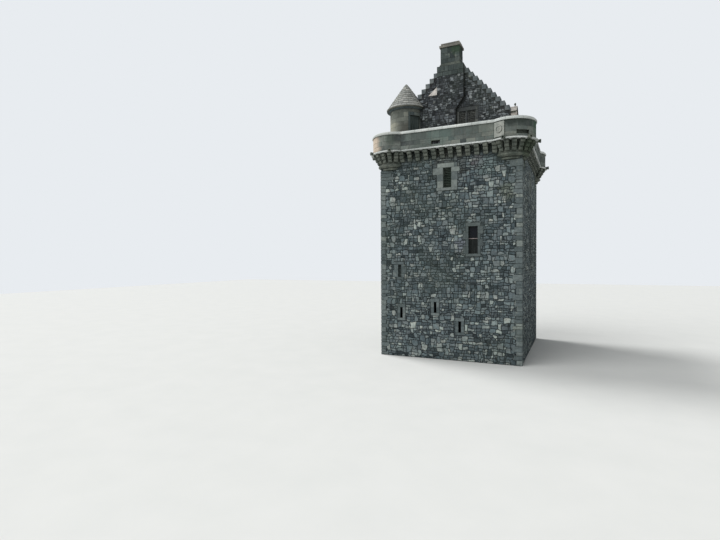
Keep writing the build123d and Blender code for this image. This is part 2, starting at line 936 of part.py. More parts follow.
# Side walls of the cap-house, cut to the slope of the roof
with BuildPart() as side_wall:
    with BuildSketch(Plane.XZ.offset(gable_inner)):
        with BuildLine():
            Polyline(
                (cap_inner_half_width, wallhead_level),
                (cap_half_width, wallhead_level),
                (cap_half_width, roof_level(cap_half_width) - roof_vertical),
                (cap_inner_half_width, roof_level(cap_inner_half_width) - roof_vertical),
                close=True,
            )
        make_face()
    extrude(amount=-2 * gable_inner)
with BuildPart() as cap_right_wall:
    add(side_wall.part)
keep(cap_right_wall, "cap_right_wall")
with BuildPart() as cap_left_wall:
    add(side_wall.part)
    mirror(about=Plane.YZ, mode=Mode.REPLACE)
    add(turret_room.part, mode=Mode.SUBTRACT)
keep(cap_left_wall, "cap_left_wall")

# Roof slopes of stone slabs between the gables, and the ridge stones over them
eaves_x = cap_half_width + eaves_overhang
with BuildPart() as slope:
    with BuildSketch(Plane.XZ.offset(gable_inner)):
        with BuildLine():
            Polyline(
                (0, roof_peak),
                (eaves_x, roof_level(eaves_x)),
                (eaves_x, roof_level(eaves_x) - roof_vertical),
                (0, roof_peak - roof_vertical),
                close=True,
            )
        make_face()
    extrude(amount=-2 * gable_inner)
with BuildPart() as roof_left:
    add(slope.part)
    mirror(about=Plane.YZ, mode=Mode.REPLACE)
    add(turret_room.part, mode=Mode.SUBTRACT)
keep(roof_left, "roof_left")

dormer_middle = dormer_near_y + dormer_width / 2
dormer_room_half = dormer_width / 2 - dormer_wall_thickness
dormer_inner_x = cap_half_width - dormer_wall_thickness
dormer_meets_roof = (roof_peak - dormer_eaves_level) / pitch
with BuildPart() as roof_right:
    add(slope.part)
    with BuildSketch(Plane.XY):
        with Locations(((dormer_meets_roof + dormer_inner_x) / 2, dormer_middle)):
            Rectangle(dormer_inner_x - dormer_meets_roof, 2 * dormer_room_half)
    extrude(amount=roof_peak, mode=Mode.SUBTRACT)
keep(roof_right, "roof_right")

with BuildPart() as ridge_stones:
    with BuildSketch(Plane.XZ.offset(gable_inner)):
        with BuildLine():
            Polyline(
                (0, roof_peak),
                (ridge_half_width, roof_level(ridge_half_width)),
                (ridge_half_width, roof_level(ridge_half_width) + ridge_thickness),
                (0, roof_peak + ridge_thickness),
                (-ridge_half_width, roof_level(ridge_half_width) + ridge_thickness),
                (-ridge_half_width, roof_level(ridge_half_width)),
                close=True,
            )
        make_face()
    extrude(amount=-2 * gable_inner)
keep(ridge_stones, "ridge_stones")

# Dormer on the right slope: walls and roof stand on the slabs
with BuildPart() as under_roof:
    with BuildSketch(Plane.XZ.offset(gable_inner)):
        with BuildLine():
            Polyline(
                (0, roof_peak),
                (far, roof_level(far)),
                (far, 0),
                (0, 0),
                close=True,
            )
        make_face()
    extrude(amount=-2 * gable_inner)


def dormer_prism(half, eaves_level, ridge_level, front_x):
    """A gabled prism along X, its gable facing +X at front_x."""
    with BuildPart() as prism:
        with BuildSketch(Plane.YZ):
            with BuildLine():
                Polyline(
                    (dormer_middle - half, wallhead_level),
                    (dormer_middle + half, wallhead_level),
                    (dormer_middle + half, eaves_level),
                    (dormer_middle, ridge_level),
                    (dormer_middle - half, eaves_level),
                    close=True,
                )
            make_face()
        extrude(amount=front_x)
    return prism.part


dormer_slope = (dormer_ridge_level - dormer_eaves_level) / (dormer_width / 2)
dormer_block = dormer_prism(
    dormer_width / 2, dormer_eaves_level, dormer_ridge_level, cap_half_width
)
dormer_void = dormer_prism(
    dormer_room_half,
    dormer_eaves_level,
    dormer_eaves_level + dormer_slope * dormer_room_half,
    dormer_inner_x,
)
dormer_hat = dormer_prism(
    dormer_width / 2 + dormer_roof_overhang,
    dormer_eaves_level - dormer_slope * dormer_roof_overhang + dormer_roof_thickness,
    dormer_ridge_level + dormer_roof_thickness,
    cap_half_width + dormer_roof_overhang,
)
dormer_hat_void = dormer_prism(
    dormer_width / 2 + dormer_roof_overhang,
    dormer_eaves_level - dormer_slope * dormer_roof_overhang,
    dormer_ridge_level,
    cap_half_width + dormer_roof_overhang,
)
window_middle_level = dormer_window_sill + dormer_window_height / 2
with BuildPart() as dormer_walls:
    add(dormer_block)
    add(dormer_void, mode=Mode.SUBTRACT)
    add(under_roof.part, mode=Mode.SUBTRACT)
    with BuildSketch(Plane.YZ.offset(dormer_inner_x)):
        with Locations((dormer_middle, window_middle_level)):
            Rectangle(dormer_window_width, dormer_window_height)
    extrude(amount=dormer_wall_thickness, mode=Mode.SUBTRACT)
keep(dormer_walls, "dormer_walls")

with BuildPart() as dormer_roof:
    add(dormer_hat)
    add(dormer_hat_void, mode=Mode.SUBTRACT)
    add(under_roof.part, mode=Mode.SUBTRACT)
keep(dormer_roof, "dormer_roof")

dormer_frame_x = dormer_inner_x + dormer_wall_thickness / 4
with BuildPart() as dormer_frame:
    with BuildSketch(Plane.YZ.offset(dormer_frame_x)):
        with Locations((dormer_middle, window_middle_level)):
            Rectangle(dormer_window_width, dormer_window_height)
            with GridLocations(
                dormer_window_width / 2 - frame_bar / 4,
                dormer_window_height / 2 - frame_bar / 4,
                2,
                2,
            ):
                Rectangle(
                    dormer_window_width / 2 - 1.5 * frame_bar,
                    dormer_window_height / 2 - 1.5 * frame_bar,
                    mode=Mode.SUBTRACT,
                )
    extrude(amount=frame_bar)
keep(dormer_frame, "dormer_window_frame")

with BuildPart() as dormer_glass:
    with BuildSketch(Plane.YZ.offset(dormer_frame_x - glass_thickness)):
        with Locations((dormer_middle, window_middle_level)):
            Rectangle(dormer_window_width, dormer_window_height)
    extrude(amount=glass_thickness)
keep(dormer_glass, "dormer_window_glass")

finial_x = cap_half_width - dormer_wall_thickness / 2
finial_foot = dormer_ridge_level + dormer_roof_thickness
finial_centre = finial_foot + finial_neck_height + finial_ball_radius * 0.9
with BuildPart() as dormer_finial:
    with BuildSketch(Plane.XY.offset(dormer_ridge_level)):
        with Locations((finial_x, dormer_middle)):
            RegularPolygon(finial_neck_radius, finial_facets)
    extrude(amount=finial_centre - dormer_ridge_level)
    for amount in (finial_ball_radius * 0.9, -finial_ball_radius * 0.9):
        with BuildSketch(Plane.XY.offset(finial_centre)):
            with Locations((finial_x, dormer_middle)):
                RegularPolygon(finial_ball_radius, finial_facets)
        extrude(amount=amount, taper=finial_ball_taper)
    add(dormer_hat, mode=Mode.SUBTRACT)
keep(dormer_finial, "dormer_finial")

# Chimney breast on the front gable: it shifts sideways on a corbelled right edge,
# and a sloping broach takes its wide left foot back to the wall
breast_front = cap_half_depth + breast_projection
with BuildPart() as broach:
    with BuildSketch(Plane.XZ.offset(breast_front)):
        with BuildLine():
            Polyline(
                (breast_left, breast_left_shoulder_level),
                (-shoulder_half_width, breast_left_shoulder_level),
                (-shoulder_half_width, breast_broach_top),
                close=True,
            )
        make_face()
    extrude(amount=-breast_projection)
    weathering = Plane(
        origin=(breast_left, -breast_front, breast_left_shoulder_level),
        x_dir=(1, 0, 0),
        z_dir=(0, breast_left_shoulder_level - breast_broach_top, breast_projection),
    )
    split(bisect_by=weathering, keep=Keep.BOTTOM)
with BuildPart() as chimney_breast:
    with BuildSketch(Plane.XZ.offset(breast_front)):
        with BuildLine():
            Polyline(
                (breast_left, walk_top),
                (breast_left, breast_left_shoulder_level),
                (-shoulder_half_width, breast_left_shoulder_level),
                (-shoulder_half_width, shoulder_level),
                (shoulder_half_width, shoulder_level),
                (shoulder_half_width, breast_corbel_top),
                (breast_right_foot, breast_corbel_foot),
                (breast_right_foot, walk_top),
                close=True,
            )
        make_face()
    extrude(amount=-breast_projection)
    add(broach.part)
keep(chimney_breast, "chimney_breast")

with BuildPart() as front_crowsteps:
    add(step_stones.part)
    add(turret_room.part, mode=Mode.SUBTRACT)
    add(chimney_breast.part, mode=Mode.SUBTRACT)
keep(front_crowsteps, "front_crowsteps")

# Chimneys: a shaft on a splayed foot, and a cope of two slabs, with one flue
foot_half = chimney_half_width + chimney_foot_spread
for name, front_y, back_y in (
    ("front", -breast_front, -gable_inner),
    ("rear", gable_inner, cap_half_depth),
):
    depth = back_y - front_y
    middle_y = (front_y + back_y) / 2
    with BuildPart() as chimney:
        with BuildSketch(Plane.XZ.offset(-front_y)):
            with BuildLine():
                Polyline(
                    (-foot_half, shoulder_level),
                    (foot_half, shoulder_level),
                    (chimney_half_width, shoulder_level + chimney_foot_height),
                    (chimney_half_width, chimney_top),
                    (-chimney_half_width, chimney_top),
                    (-chimney_half_width, shoulder_level + chimney_foot_height),
                    close=True,
                )
            make_face()
        extrude(amount=-depth)
        with BuildSketch(Plane.XY.offset(shoulder_level)):
            with Locations((0, middle_y)):
                Rectangle(flue_width, flue_depth)
        extrude(amount=chimney_top - shoulder_level, mode=Mode.SUBTRACT)
    keep(chimney, f"{name}_chimney")
    with BuildPart() as chimney_cope:
        slab_width = 2 * (chimney_half_width + chimney_cope_overhang)
        slab_depth = depth + 2 * chimney_cope_overhang
        with BuildSketch(Plane.XY.offset(chimney_top)):
            with Locations((0, middle_y)):
                Rectangle(slab_width, slab_depth)
        extrude(amount=chimney_cope_height)
        with BuildSketch(Plane.XY.offset(chimney_top + chimney_cope_height)):
            with Locations((0, middle_y)):
                Rectangle(slab_width - 2 * chimney_cap_inset, slab_depth - 2 * chimney_cap_inset)
        extrude(amount=chimney_cap_height)
        with BuildSketch(Plane.XY.offset(chimney_top)):
            with Locations((0, middle_y)):
                Rectangle(flue_width, flue_depth)
        extrude(amount=chimney_cope_height + chimney_cap_height, mode=Mode.SUBTRACT)
    keep(chimney_cope, f"{name}_chimney_cope")

# Stair turret: a hollow drum with one door, a moulded cornice and a stone cone
turret_inner_radius = turret_radius - turret_wall_thickness
door_middle_level = turret_door_sill + turret_door_height / 2
with BuildPart() as turret_wall:
    with BuildSketch(Plane.XY.offset(wallhead_level)):
        with Locations(turret_centre):
            Circle(turret_radius)
            Circle(turret_inner_radius, mode=Mode.SUBTRACT)
    extrude(amount=turret_wall_top - wallhead_level)
    with BuildSketch(radial_plane(turret_centre, 0, turret_door_azimuth, door_middle_level)):
        Rectangle(turret_door_width, turret_door_height)
    extrude(amount=2 * turret_radius, mode=Mode.SUBTRACT)
keep(turret_wall, "turret_wall")

jamb_radius = sqrt(turret_radius**2 - (turret_door_width / 2) ** 2)
leaf_radius = jamb_radius - turret_leaf_setback - turret_leaf_thickness
with BuildPart() as turret_door:
    with BuildSketch(
        radial_plane(turret_centre, leaf_radius, turret_door_azimuth, door_middle_level)
    ):
        Rectangle(turret_door_width, turret_door_height)
    extrude(amount=turret_leaf_thickness)
keep(turret_door, "turret_door")


def turret_ring(outline):
    """A profile of radius and level, turned about the axis of the turret."""
    with BuildPart() as ring:
        with BuildSketch(Plane.XZ.offset(-turret_y)):
            with BuildLine():
                Polyline(*[(turret_x + radius, level) for radius, level in outline], close=True)
            make_face()
        revolve(axis=turret_axis)
    return ring


keep(
    turret_ring(
        (
            (turret_inner_radius, turret_wall_top),
            (turret_radius + turret_cornice_reach / 3, turret_wall_top),
            (
                turret_radius + turret_cornice_reach * 0.85,
                turret_wall_top + turret_cornice_height / 2,
            ),
            (turret_radius + turret_cornice_reach, turret_eaves_level),
            (turret_inner_radius, turret_eaves_level),
        )
    ),
    "turret_cornice",
)
keep(
    turret_ring(
        (
            (turret_inner_radius, turret_eaves_level),
            (turret_eaves_radius, turret_eaves_level),
            (turret_eaves_radius, turret_eaves_level + turret_eaves_edge),
            (turret_tip_radius, turret_apex),
            (0, turret_apex),
            (0, turret_void_top),
            (turret_roof_thickness, turret_void_top),
            (turret_inner_radius - turret_roof_thickness, turret_eaves_level + turret_eaves_edge),
        )
    ),
    "turret_roof",
)
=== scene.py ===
# %% [markdown]
# # A small stone tower house
# The tower stands on its own, four storeys of rough rubble under a parapet that oversails the
# walls on corbels, with an open round at each corner. Inside the parapet stands a gabled
# cap-house with stepped gables, and a stair turret with a stone cone. The solid model gives the
# true shape, and this script dresses it: stones, slabs, weather and light.

import random
from collections import namedtuple
from functools import cached_property
from math import cos, hypot, pi, radians, sin, sqrt

import bmesh
import bpy
from mathutils import Matrix, Vector, noise


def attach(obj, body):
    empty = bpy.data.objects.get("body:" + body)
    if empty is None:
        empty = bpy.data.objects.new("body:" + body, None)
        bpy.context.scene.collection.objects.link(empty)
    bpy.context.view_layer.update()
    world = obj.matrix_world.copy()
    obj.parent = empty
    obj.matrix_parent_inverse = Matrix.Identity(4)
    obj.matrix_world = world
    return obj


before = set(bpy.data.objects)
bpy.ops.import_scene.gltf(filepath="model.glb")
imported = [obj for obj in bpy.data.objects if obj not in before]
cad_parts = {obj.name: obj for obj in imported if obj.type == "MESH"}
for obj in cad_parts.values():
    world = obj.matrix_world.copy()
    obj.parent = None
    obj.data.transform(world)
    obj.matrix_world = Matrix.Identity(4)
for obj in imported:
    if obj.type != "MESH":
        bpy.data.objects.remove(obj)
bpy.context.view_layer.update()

# %% [markdown]
# ## Camera and light
# The photograph was taken from low down in front and to the right, from far enough away that
# the walls hardly converge. A pale floor and an even sky keep colours as they are written. A
# broad sun stands to the left and a little behind, so the tops of the copes, the cone and the
# left side catch the light, as they do there. A very soft fill from the front left keeps the
# front clear of the right side, which lies in shade.


# %% Camera
def turned(angle, axis):
    """A turn about an axis, in degrees."""
    return Matrix.Rotation(radians(angle), 4, axis)


def turns(*steps):
    """A row of angles, from steps in degrees."""
    return [radians(angle) for angle in range(*steps)]


def add_object(name, data):
    """Makes an object and puts it in the scene."""
    made = bpy.data.objects.new(name, data)
    bpy.context.collection.objects.link(made)
    return made


CAMERA_PLACE = Vector((6.62, -30.95, 5.71))
CAMERA_YAW, CAMERA_PITCH, CAMERA_ROLL = 25.0, -1.09, -0.31
FOCAL_LENGTH, SENSOR_WIDTH, FARTHEST = 23.0, 36.0, 500.0

lens = bpy.data.cameras.new("camera")
lens.lens, lens.sensor_width, lens.clip_end = FOCAL_LENGTH, SENSOR_WIDTH, FARTHEST
camera = add_object("camera", lens)
camera.matrix_world = (
    Matrix.Translation(CAMERA_PLACE)
    @ turned(CAMERA_YAW, "Z")
    @ turned(90 + CAMERA_PITCH, "X")
    @ turned(CAMERA_ROLL, "Z")
)
bpy.context.scene.camera = camera
bpy.context.scene.view_settings.view_transform = "Standard"
print("camera at", tuple(CAMERA_PLACE))

# %% Sun and fill
# Strength, softness in degrees, and the direction that the light comes from
LIGHTS = {
    "sun": (2.3, 22.0, Vector((-0.956, 0.292, 1.19))),
    "fill": (2.0, 60.0, Vector((-0.70, -1.0, 1.0))),
}
for name, (strength, softness, source) in LIGHTS.items():
    light = bpy.data.lights.new(name, "SUN")
    light.energy = strength
    light.angle = radians(softness)
    lamp = add_object(name, light)
    lamp.matrix_world = source.to_track_quat("Z", "Y").to_matrix().to_4x4()
    print(name, "from", tuple(source))

# %% [markdown]
# ## Shader maths in plain Python
# A finish is easier to read as a sum than as a tree of boxes. `Value` wraps one output socket,
# and adding, taking away or multiplying values adds the Math nodes. Every other node comes from
# one method of `Shader`, which sets the node up first and then fills its sockets.


# %% Value and Shader
def operator(operation, reflected=False):
    """An arithmetic operator of Value, perhaps for a plain number on its left."""
    return lambda value, other: value.math(operation, other, reflected)


class Value:
    """One output socket, with the operators of arithmetic."""

    def __init__(self, shader, socket):
        self.shader = shader
        self.socket = socket

    def math(self, operation, other=0.0, reflected=False):
        pair = (other, self) if reflected else (self, other)
        return self.shader.node("Math", {"operation": operation}, dict(enumerate(pair)))

    __add__, __radd__ = operator("ADD"), operator("ADD", True)
    __sub__, __rsub__ = operator("SUBTRACT"), operator("SUBTRACT", True)
    __mul__, __rmul__ = operator("MULTIPLY"), operator("MULTIPLY", True)
    __gt__ = operator("GREATER_THAN")


def srgb(red, green, blue):
    """A colour as a paint chart gives it, turned into the linear numbers of a shader."""
    channels = []
    for byte in (red, green, blue):
        share = byte / 255
        channels.append(share / 12.92 if share <= 0.04045 else ((share + 0.055) / 1.055) ** 2.4)
    return (*channels, 1.0)


class Shader:
    """A material, or the sky, and its node tree."""

    def __init__(self, name, sky=False):
        self.holder = (bpy.data.worlds if sky else bpy.data.materials).new(name)
        self.holder.use_nodes = True
        self.tree = self.holder.node_tree
        self.tree.nodes.clear()
        self.end = "OutputWorld" if sky else "OutputMaterial"

    def node(self, kind, settings=None, inputs=None, output=0):
        made = self.tree.nodes.new("ShaderNode" + kind)
        for name, value in (settings or {}).items():
            if name == "stops":
                while len(made.color_ramp.elements) < len(value):
                    made.color_ramp.elements.new(1.0)
                for element, (position, colour) in zip(made.color_ramp.elements, value):
                    element.position = position
                    element.color = colour
            else:
                setattr(made, name, value)
        for name, value in (inputs or {}).items():
            if isinstance(value, Value):
                self.tree.links.new(value.socket, made.inputs[name])
            else:
                made.inputs[name].default_value = value
        return Value(self, made.outputs[output])

    @cached_property
    def place(self):
        """Where a point lies on the tower."""
        return self.node("TexCoord", output="Object")

    def noise(self, scale, detail=3.0, roughness=0.55, stretch=(1, 1, 1), shift=(0, 0, 0)):
        """Soft clouds from 0 to 1, stretched along an axis where the weather runs that way."""
        place = self.place
        if stretch != (1, 1, 1) or shift != (0, 0, 0):
            moved = {"Vector": place, "Scale": stretch, "Location": shift}
            place = self.node("Mapping", None, moved)
        cloud = {"Vector": place, "Scale": scale, "Detail": detail, "Roughness": roughness}
        return self.node("TexNoise", None, cloud)

    def fade(self, value, low, high):
        """0 below one level, 1 above the other, and smooth between."""
        limits = {"Value": value, "From Min": low, "From Max": high, "To Min": 0.0, "To Max": 1.0}
        return self.node("MapRange", {"interpolation_type": "SMOOTHSTEP"}, limits)

    def patches(self, low, high, *cloud, **where):
        """Clouds that fade from none at one level to full at the other."""
        return self.fade(self.noise(*cloud, **where), low, high)

    def ramp(self, value, shades, places=None):
        """Takes a value through a row of colours, evenly spaced unless places are given."""
        places = places or [number / (len(shades) - 1) for number in range(len(shades))]
        stops = [(place, srgb(*shade)) for place, shade in zip(places, shades)]
        return self.node("ValToRGB", {"stops": stops}, {0: value})

    def mix(self, factor, first, second, blend="MIX"):
        """Goes from the first colour to the second."""
        settings = {"data_type": "RGBA", "blend_type": blend}
        return self.node("Mix", settings, {0: factor, 6: first, 7: second}, 2)

    def coat(self, colour, share, shade):
        """Lays some of a second colour over the first."""
        return self.mix(share, colour, srgb(*shade))

    def axis(self, index):
        return self.node("SeparateXYZ", None, {0: self.place}, index)

    def distance(self, centre):
        inputs = {0: self.place, 1: centre}
        return self.node("VectorMath", {"operation": "DISTANCE"}, inputs, "Value")

    def finish(self, colour, roughness, height, depth, specular=0.5, metallic=0.0):
        """Ends the tree in a Principled surface, with a bump from the height."""
        bump = self.node("Bump", None, {"Height": height, "Distance": depth, "Strength": 1.0})
        sockets = {
            "Base Color": colour,
            "Roughness": roughness,
            "Normal": bump,
            "Specular IOR Level": specular,
            "Metallic": metallic,
        }
        return self.out(self.node("BsdfPrincipled", None, sockets))

    def out(self, surface):
        end = self.tree.nodes.new("ShaderNode" + self.end)
        self.tree.links.new(surface.socket, end.inputs["Surface"])
        return self.holder


# %% World and floor
SKY_LIGHT, SKY_STRENGTH = (0.93, 0.97, 1.0, 1.0), 0.40
SKY_SEEN = srgb(232, 236, 240)
FLOOR_REACH = 90.0


def settle(sheet, name):
    """Turns a bmesh into a mesh."""
    mesh = bpy.data.meshes.new(name)
    sheet.to_mesh(mesh)
    sheet.free()
    return mesh


sky = Shader("sky", sky=True)
seen = sky.node("LightPath", output="Is Camera Ray")
lit = sky.node("Background", None, {"Color": SKY_LIGHT, "Strength": SKY_STRENGTH})
backdrop = sky.node("Background", None, {"Color": SKY_SEEN})
bpy.context.scene.world = sky.out(sky.node("MixShader", None, {0: seen, 1: lit, 2: backdrop}))

grid = bmesh.new()
bmesh.ops.create_grid(grid, x_segments=2, y_segments=2, size=FLOOR_REACH)
floor = add_object("floor", settle(grid, "floor"))
paint = Shader("floor_paint")
pale = paint.mix(paint.noise(0.6), srgb(200, 201, 198), srgb(208, 208, 205))
floor.data.materials.append(paint.finish(pale, 0.9, paint.noise(6.0), 0.002))
print("floor and sky made")

# %% [markdown]
# ## Stone finishes
# All the walls are whinstone and sandstone from nearby, so one recipe serves for them all: a
# row of stone colours that each stone takes one from, broad patches of weather, a fine grain,
# and pale spots of lichen. The colour of one stone comes from a number stored on its faces.
# Where the solid model itself shows, the number comes from soft clouds instead.

# %% Joints of the copes
ROUND_CENTRE = (3.475, 4.325)
CORNER_FROM = (2.74, 3.59)
ENDS_FROM = 4.8
COPE_RADIUS = 1.15
HALF_COPE, COPE_START = 0.41, 0.17


def cope_joints(shader):
    """Fine lines where the stones of a cope meet, square across it also round the corners."""
    x, y = shader.axis(0), shader.axis(1)
    across, along = x.math("ABSOLUTE"), y.math("ABSOLUTE")
    corner = (across > CORNER_FROM[0]) * (along > CORNER_FROM[1])
    ends = along > ENDS_FROM
    turn = (across - ROUND_CENTRE[0]).math("ARCTAN2", along - ROUND_CENTRE[1])
    straight = ends * x + (1 - ends) * y
    run = corner * (COPE_RADIUS * turn) + (1 - corner) * straight
    apart = (run + COPE_START).math("PINGPONG", HALF_COPE)
    return 1 - shader.fade(apart, 0.004, 0.010)


# %% Stone recipe
STONE_ROUGHNESS = 0.93
# The colour of the joint lines on the copes, of the painted shade in pits and of the painted shade
# in hollows
JOINT_SHADE, PIT_SHADOW_COLOUR, HOLLOW_SHADE_COLOUR = (66, 70, 66), (44, 51, 52), (34, 38, 32)
COOL, WARM = (0.93, 1.0, 1.03, 1), (1.08, 0.985, 0.98, 1)
# Levels between which the patches fade in, then the scale, detail, roughness, stretch and
# shift of their clouds
DAMP_CLOUDS = (0.42, 0.72, 0.42, 4.0, 0.6, (1, 1, 1), (3, 1, 7))
LICHEN_SPOTS = (0.60, 0.68, 3.4, 6.0, 0.7, (1, 1, 1), (9, 4, 2))
# Dark spots painted as the shade in pits of the stone faces
PIT_SHADOW_CLOUDS = (0.55, 0.64, 5.5, 6.0, 0.7, (1, 1, 1), (2, 8, 5))


def stone_finish(
    name, shades, places=None, tone=None, grain=0.22, grain_scale=9.0, damp=(62, 72, 62),
    damp_share=0.35, lichen=(170, 172, 156), lichen_share=0.25, stains_and_light_patches=(), streaks=None,
    bump=0.012, hollow_shade=0.55, hollow_shade_reach=0.15, hue=0.0, band=None, jointed=False, pit_shadows=0.0,
):
    shader = Shader(name)
    if tone is None:
        number = shader.node("Attribute", {"attribute_name": "tone"}, output="Fac")
        number = number + 0.35 * (shader.noise(2.2, 3.0) - 0.5)
    else:
        number = shader.patches(0.22, 0.78, tone, 4.0, 0.6)
    colour = shader.ramp(number, shades, places)
    if hue:
        tint = shader.mix((number * 7.3).math("FRACT"), COOL, WARM)
        colour = shader.mix(hue, colour, shader.mix(1.0, colour, tint, "MULTIPLY"))
    fine = shader.noise(grain_scale, 9.0, 0.68)
    dark, pale = (
        shader.mix(1.0, colour, (share, share, share, 1), "MULTIPLY")
        for share in (1 - grain * 1.6, 1 + grain)
    )
    colour = shader.mix(shader.fade(fine, 0.28, 0.72), dark, pale)
    # Damp and lichen are the stone's own colours; the third layer is painted shade in pits
    for clouds, share, shade in (
        (DAMP_CLOUDS, damp_share, damp),
        (LICHEN_SPOTS, lichen_share, lichen),
        (PIT_SHADOW_CLOUDS, pit_shadows, PIT_SHADOW_COLOUR),
    ):
        if share:
            colour = shader.coat(colour, shader.patches(*clouds) * share, shade)
    if streaks:
        top, foot, shade, share = streaks
        runs = shader.patches(0.42, 0.66, 2.4, 5.0, 0.6, stretch=(1, 1, 0.12))
        under = shader.fade(shader.axis(2), foot, top)
        colour = shader.coat(colour, runs * under * share, shade)
    # A colour laid fully above the upper of two levels; on the rubble it is painted shade between
    # the corbels, with some dirt and moss
    if band:
        low, high, shade, share = band
        colour = shader.coat(colour, shader.fade(shader.axis(2), low, high) * share, shade)
    for centre, reach, shade, share in stains_and_light_patches:
        cloud = shader.noise(3.0 / reach, 4.0, 0.65) - 0.5
        ragged = shader.distance(centre) + 0.5 * reach * cloud
        if tone is None:
            ragged = ragged + 0.3 * reach * (number - 0.5)
        inside = 1 - shader.fade(ragged, 0.45 * reach, reach)
        colour = shader.coat(colour, inside * share, shade)
    if jointed:
        colour = shader.coat(colour, cope_joints(shader) * 0.75, JOINT_SHADE)
    # Painted shade: ambient occlusion darkens the colour in joints, hollows and under overhangs,
    # where shade falls
    open_sky = shader.node("AmbientOcclusion", {"samples": 6}, {"Distance": hollow_shade_reach}, "AO")
    shaded_hollows = 1 - shader.fade(open_sky, 0.35, 0.95)
    colour = shader.coat(colour, shaded_hollows * hollow_shade, HOLLOW_SHADE_COLOUR)
    return shader.finish(colour, STONE_ROUGHNESS, fine, bump, specular=0.2)


# %% Rubble, its mortar, and the beds behind squared stones
# A stain, or a patch of painted light or shade, is its centre, its reach, its colour and its share.
# Streaks and bands are two levels, a colour and a share.
rubble = stone_finish(
    "rubble_stones",
    [
        (48, 56, 59), (68, 78, 81), (88, 99, 102), (103, 114, 116),
        (121, 131, 130), (143, 152, 148), (162, 169, 162),
    ],
    (0.0, 0.11, 0.32, 0.60, 0.82, 0.94, 1.0),
    hue=0.8,
    pit_shadows=0.55,
    stains_and_light_patches=[
        ((3.35, -4.95, 9.5), 0.60, (102, 106, 82), 0.35),
        ((1.7, -4.95, 11.2), 0.50, (100, 92, 94), 0.45),
        ((2.2, -4.95, 10.9), 0.70, (120, 136, 134), 0.45),
        ((0.9, -4.95, 6.6), 0.55, (118, 122, 132), 0.5),
        ((0.2, -4.95, 11.45), 1.3, (78, 76, 66), 0.35),
        ((4.1, -4.3, 11.6), 1.1, (54, 68, 44), 0.7),
    ],
    streaks=(12.2, 9.8, (56, 64, 62), 0.4),
    # Painted shade, with some dirt and moss, at the top of the wall between the corbels
    band=(11.45, 11.75, (30, 35, 30), 0.75),
)
gable_rubble = stone_finish(
    "gable_stones",
    [(34, 37, 40), (53, 57, 61), (71, 75, 79), (87, 91, 94), (109, 115, 119), (146, 151, 152)],
    (0.0, 0.16, 0.42, 0.66, 0.84, 1.0),
    hue=0.3, damp=(56, 66, 56), damp_share=0.3, pit_shadows=0.4,
)
mortar = stone_finish(
    "mortar", [(30, 36, 38), (42, 49, 51), (60, 67, 68)], tone=1.6, lichen_share=0.1
)
gable_bed = stone_finish(
    "gable_bed", [(34, 35, 37), (50, 51, 52), (70, 70, 70)], tone=1.8, lichen_share=0.1
)
bed_stone = stone_finish("bed_stone", [(70, 76, 72), (88, 94, 88), (106, 110, 102)], tone=1.4)
slab_bed = stone_finish("slab_bed", [(70, 72, 66), (92, 92, 84), (112, 110, 100)], tone=1.5)
print("rubble finishes made")

# %% Squared and dressed stone
ashlar_blocks = stone_finish(
    "ashlar_blocks",
    [(66, 71, 70), (86, 92, 90), (100, 107, 103), (110, 117, 112), (128, 133, 125)],
    (0.0, 0.12, 0.35, 0.65, 1.0),
    grain=0.14, bump=0.004, damp=(74, 82, 76), damp_share=0.5,
    lichen=(150, 152, 140), lichen_share=0.15, hue=0.6,
    stains_and_light_patches=[
        ((3.55, -5.60, 13.20), 0.55, (44, 50, 47), 0.85),
        ((4.10, -5.40, 13.25), 0.40, (52, 60, 55), 0.7),
        ((4.80, -4.2, 12.8), 0.95, (44, 80, 58), 0.65),
        # Painted sunlight on the left side of the front left round
        ((-4.50, -5.05, 12.72), 0.98, (192, 176, 158), 0.9),
        ((-3.22, -5.54, 12.90), 0.55, (60, 70, 63), 0.6),
        ((-2.75, -5.33, 12.95), 0.50, (54, 58, 58), 0.65),
        ((-0.3, -5.3, 12.85), 0.9, (88, 108, 102), 0.4),
    ],
    streaks=(13.2, 12.3, (72, 78, 74), 0.55),
)
ashlar = stone_finish(
    "ashlar", [(72, 78, 73), (96, 101, 94), (124, 127, 117)],
    tone=2.6, grain=0.2, bump=0.006, hollow_shade=0.95, hollow_shade_reach=0.13,
    stains_and_light_patches=[((4.5, -4.6, 11.9), 1.0, (46, 60, 38), 0.6)],
)
gable_dressing = stone_finish(
    "gable_dressing", [(66, 69, 69), (82, 85, 84), (100, 102, 98)], grain=0.2, bump=0.006
)
step_stone = stone_finish(
    "step_stone", [(78, 84, 88), (99, 105, 107), (126, 130, 128)],
    tone=2.2, bump=0.006, damp=(84, 98, 92), damp_share=0.25, lichen_share=0.3,
)
# Pale stone, its shades raised further as painted sunlight on the tops of the copes and ledges
cope_stone = stone_finish(
    "cope_stone", [(182, 187, 184), (201, 205, 202), (214, 216, 212)],
    tone=1.1, grain=0.10, bump=0.006, damp=(116, 122, 114), damp_share=0.4,
    lichen=(206, 205, 194), hollow_shade=0.45, jointed=True,
    stains_and_light_patches=[
        ((-3.5, -5.3, 13.3), 1.2, (150, 153, 146), 0.55),
        # Painted shadow on the ledge just right of the front left round
        ((-2.4, -5.3, 12.2), 0.9, (126, 132, 128), 0.6),
    ],
)
carved_stone = stone_finish(
    "carved_stone", [(134, 138, 132), (156, 159, 152), (176, 177, 169)],
    tone=3.0, grain=0.12, bump=0.004, damp=(98, 104, 98), hollow_shade=0.8, hollow_shade_reach=0.06,
)
plain_block = stone_finish(
    "margin_stone", [(100, 108, 106), (116, 124, 121), (134, 140, 135)],
    tone=1.6, grain=0.16, bump=0.004, lichen_share=0.15,
)
grey_block = stone_finish(
    "grey_margin_stone", [(74, 82, 84), (88, 97, 99), (106, 114, 113)],
    tone=2.2, grain=0.2, bump=0.006, lichen_share=0.2,
)
print("dressed stone finishes made")

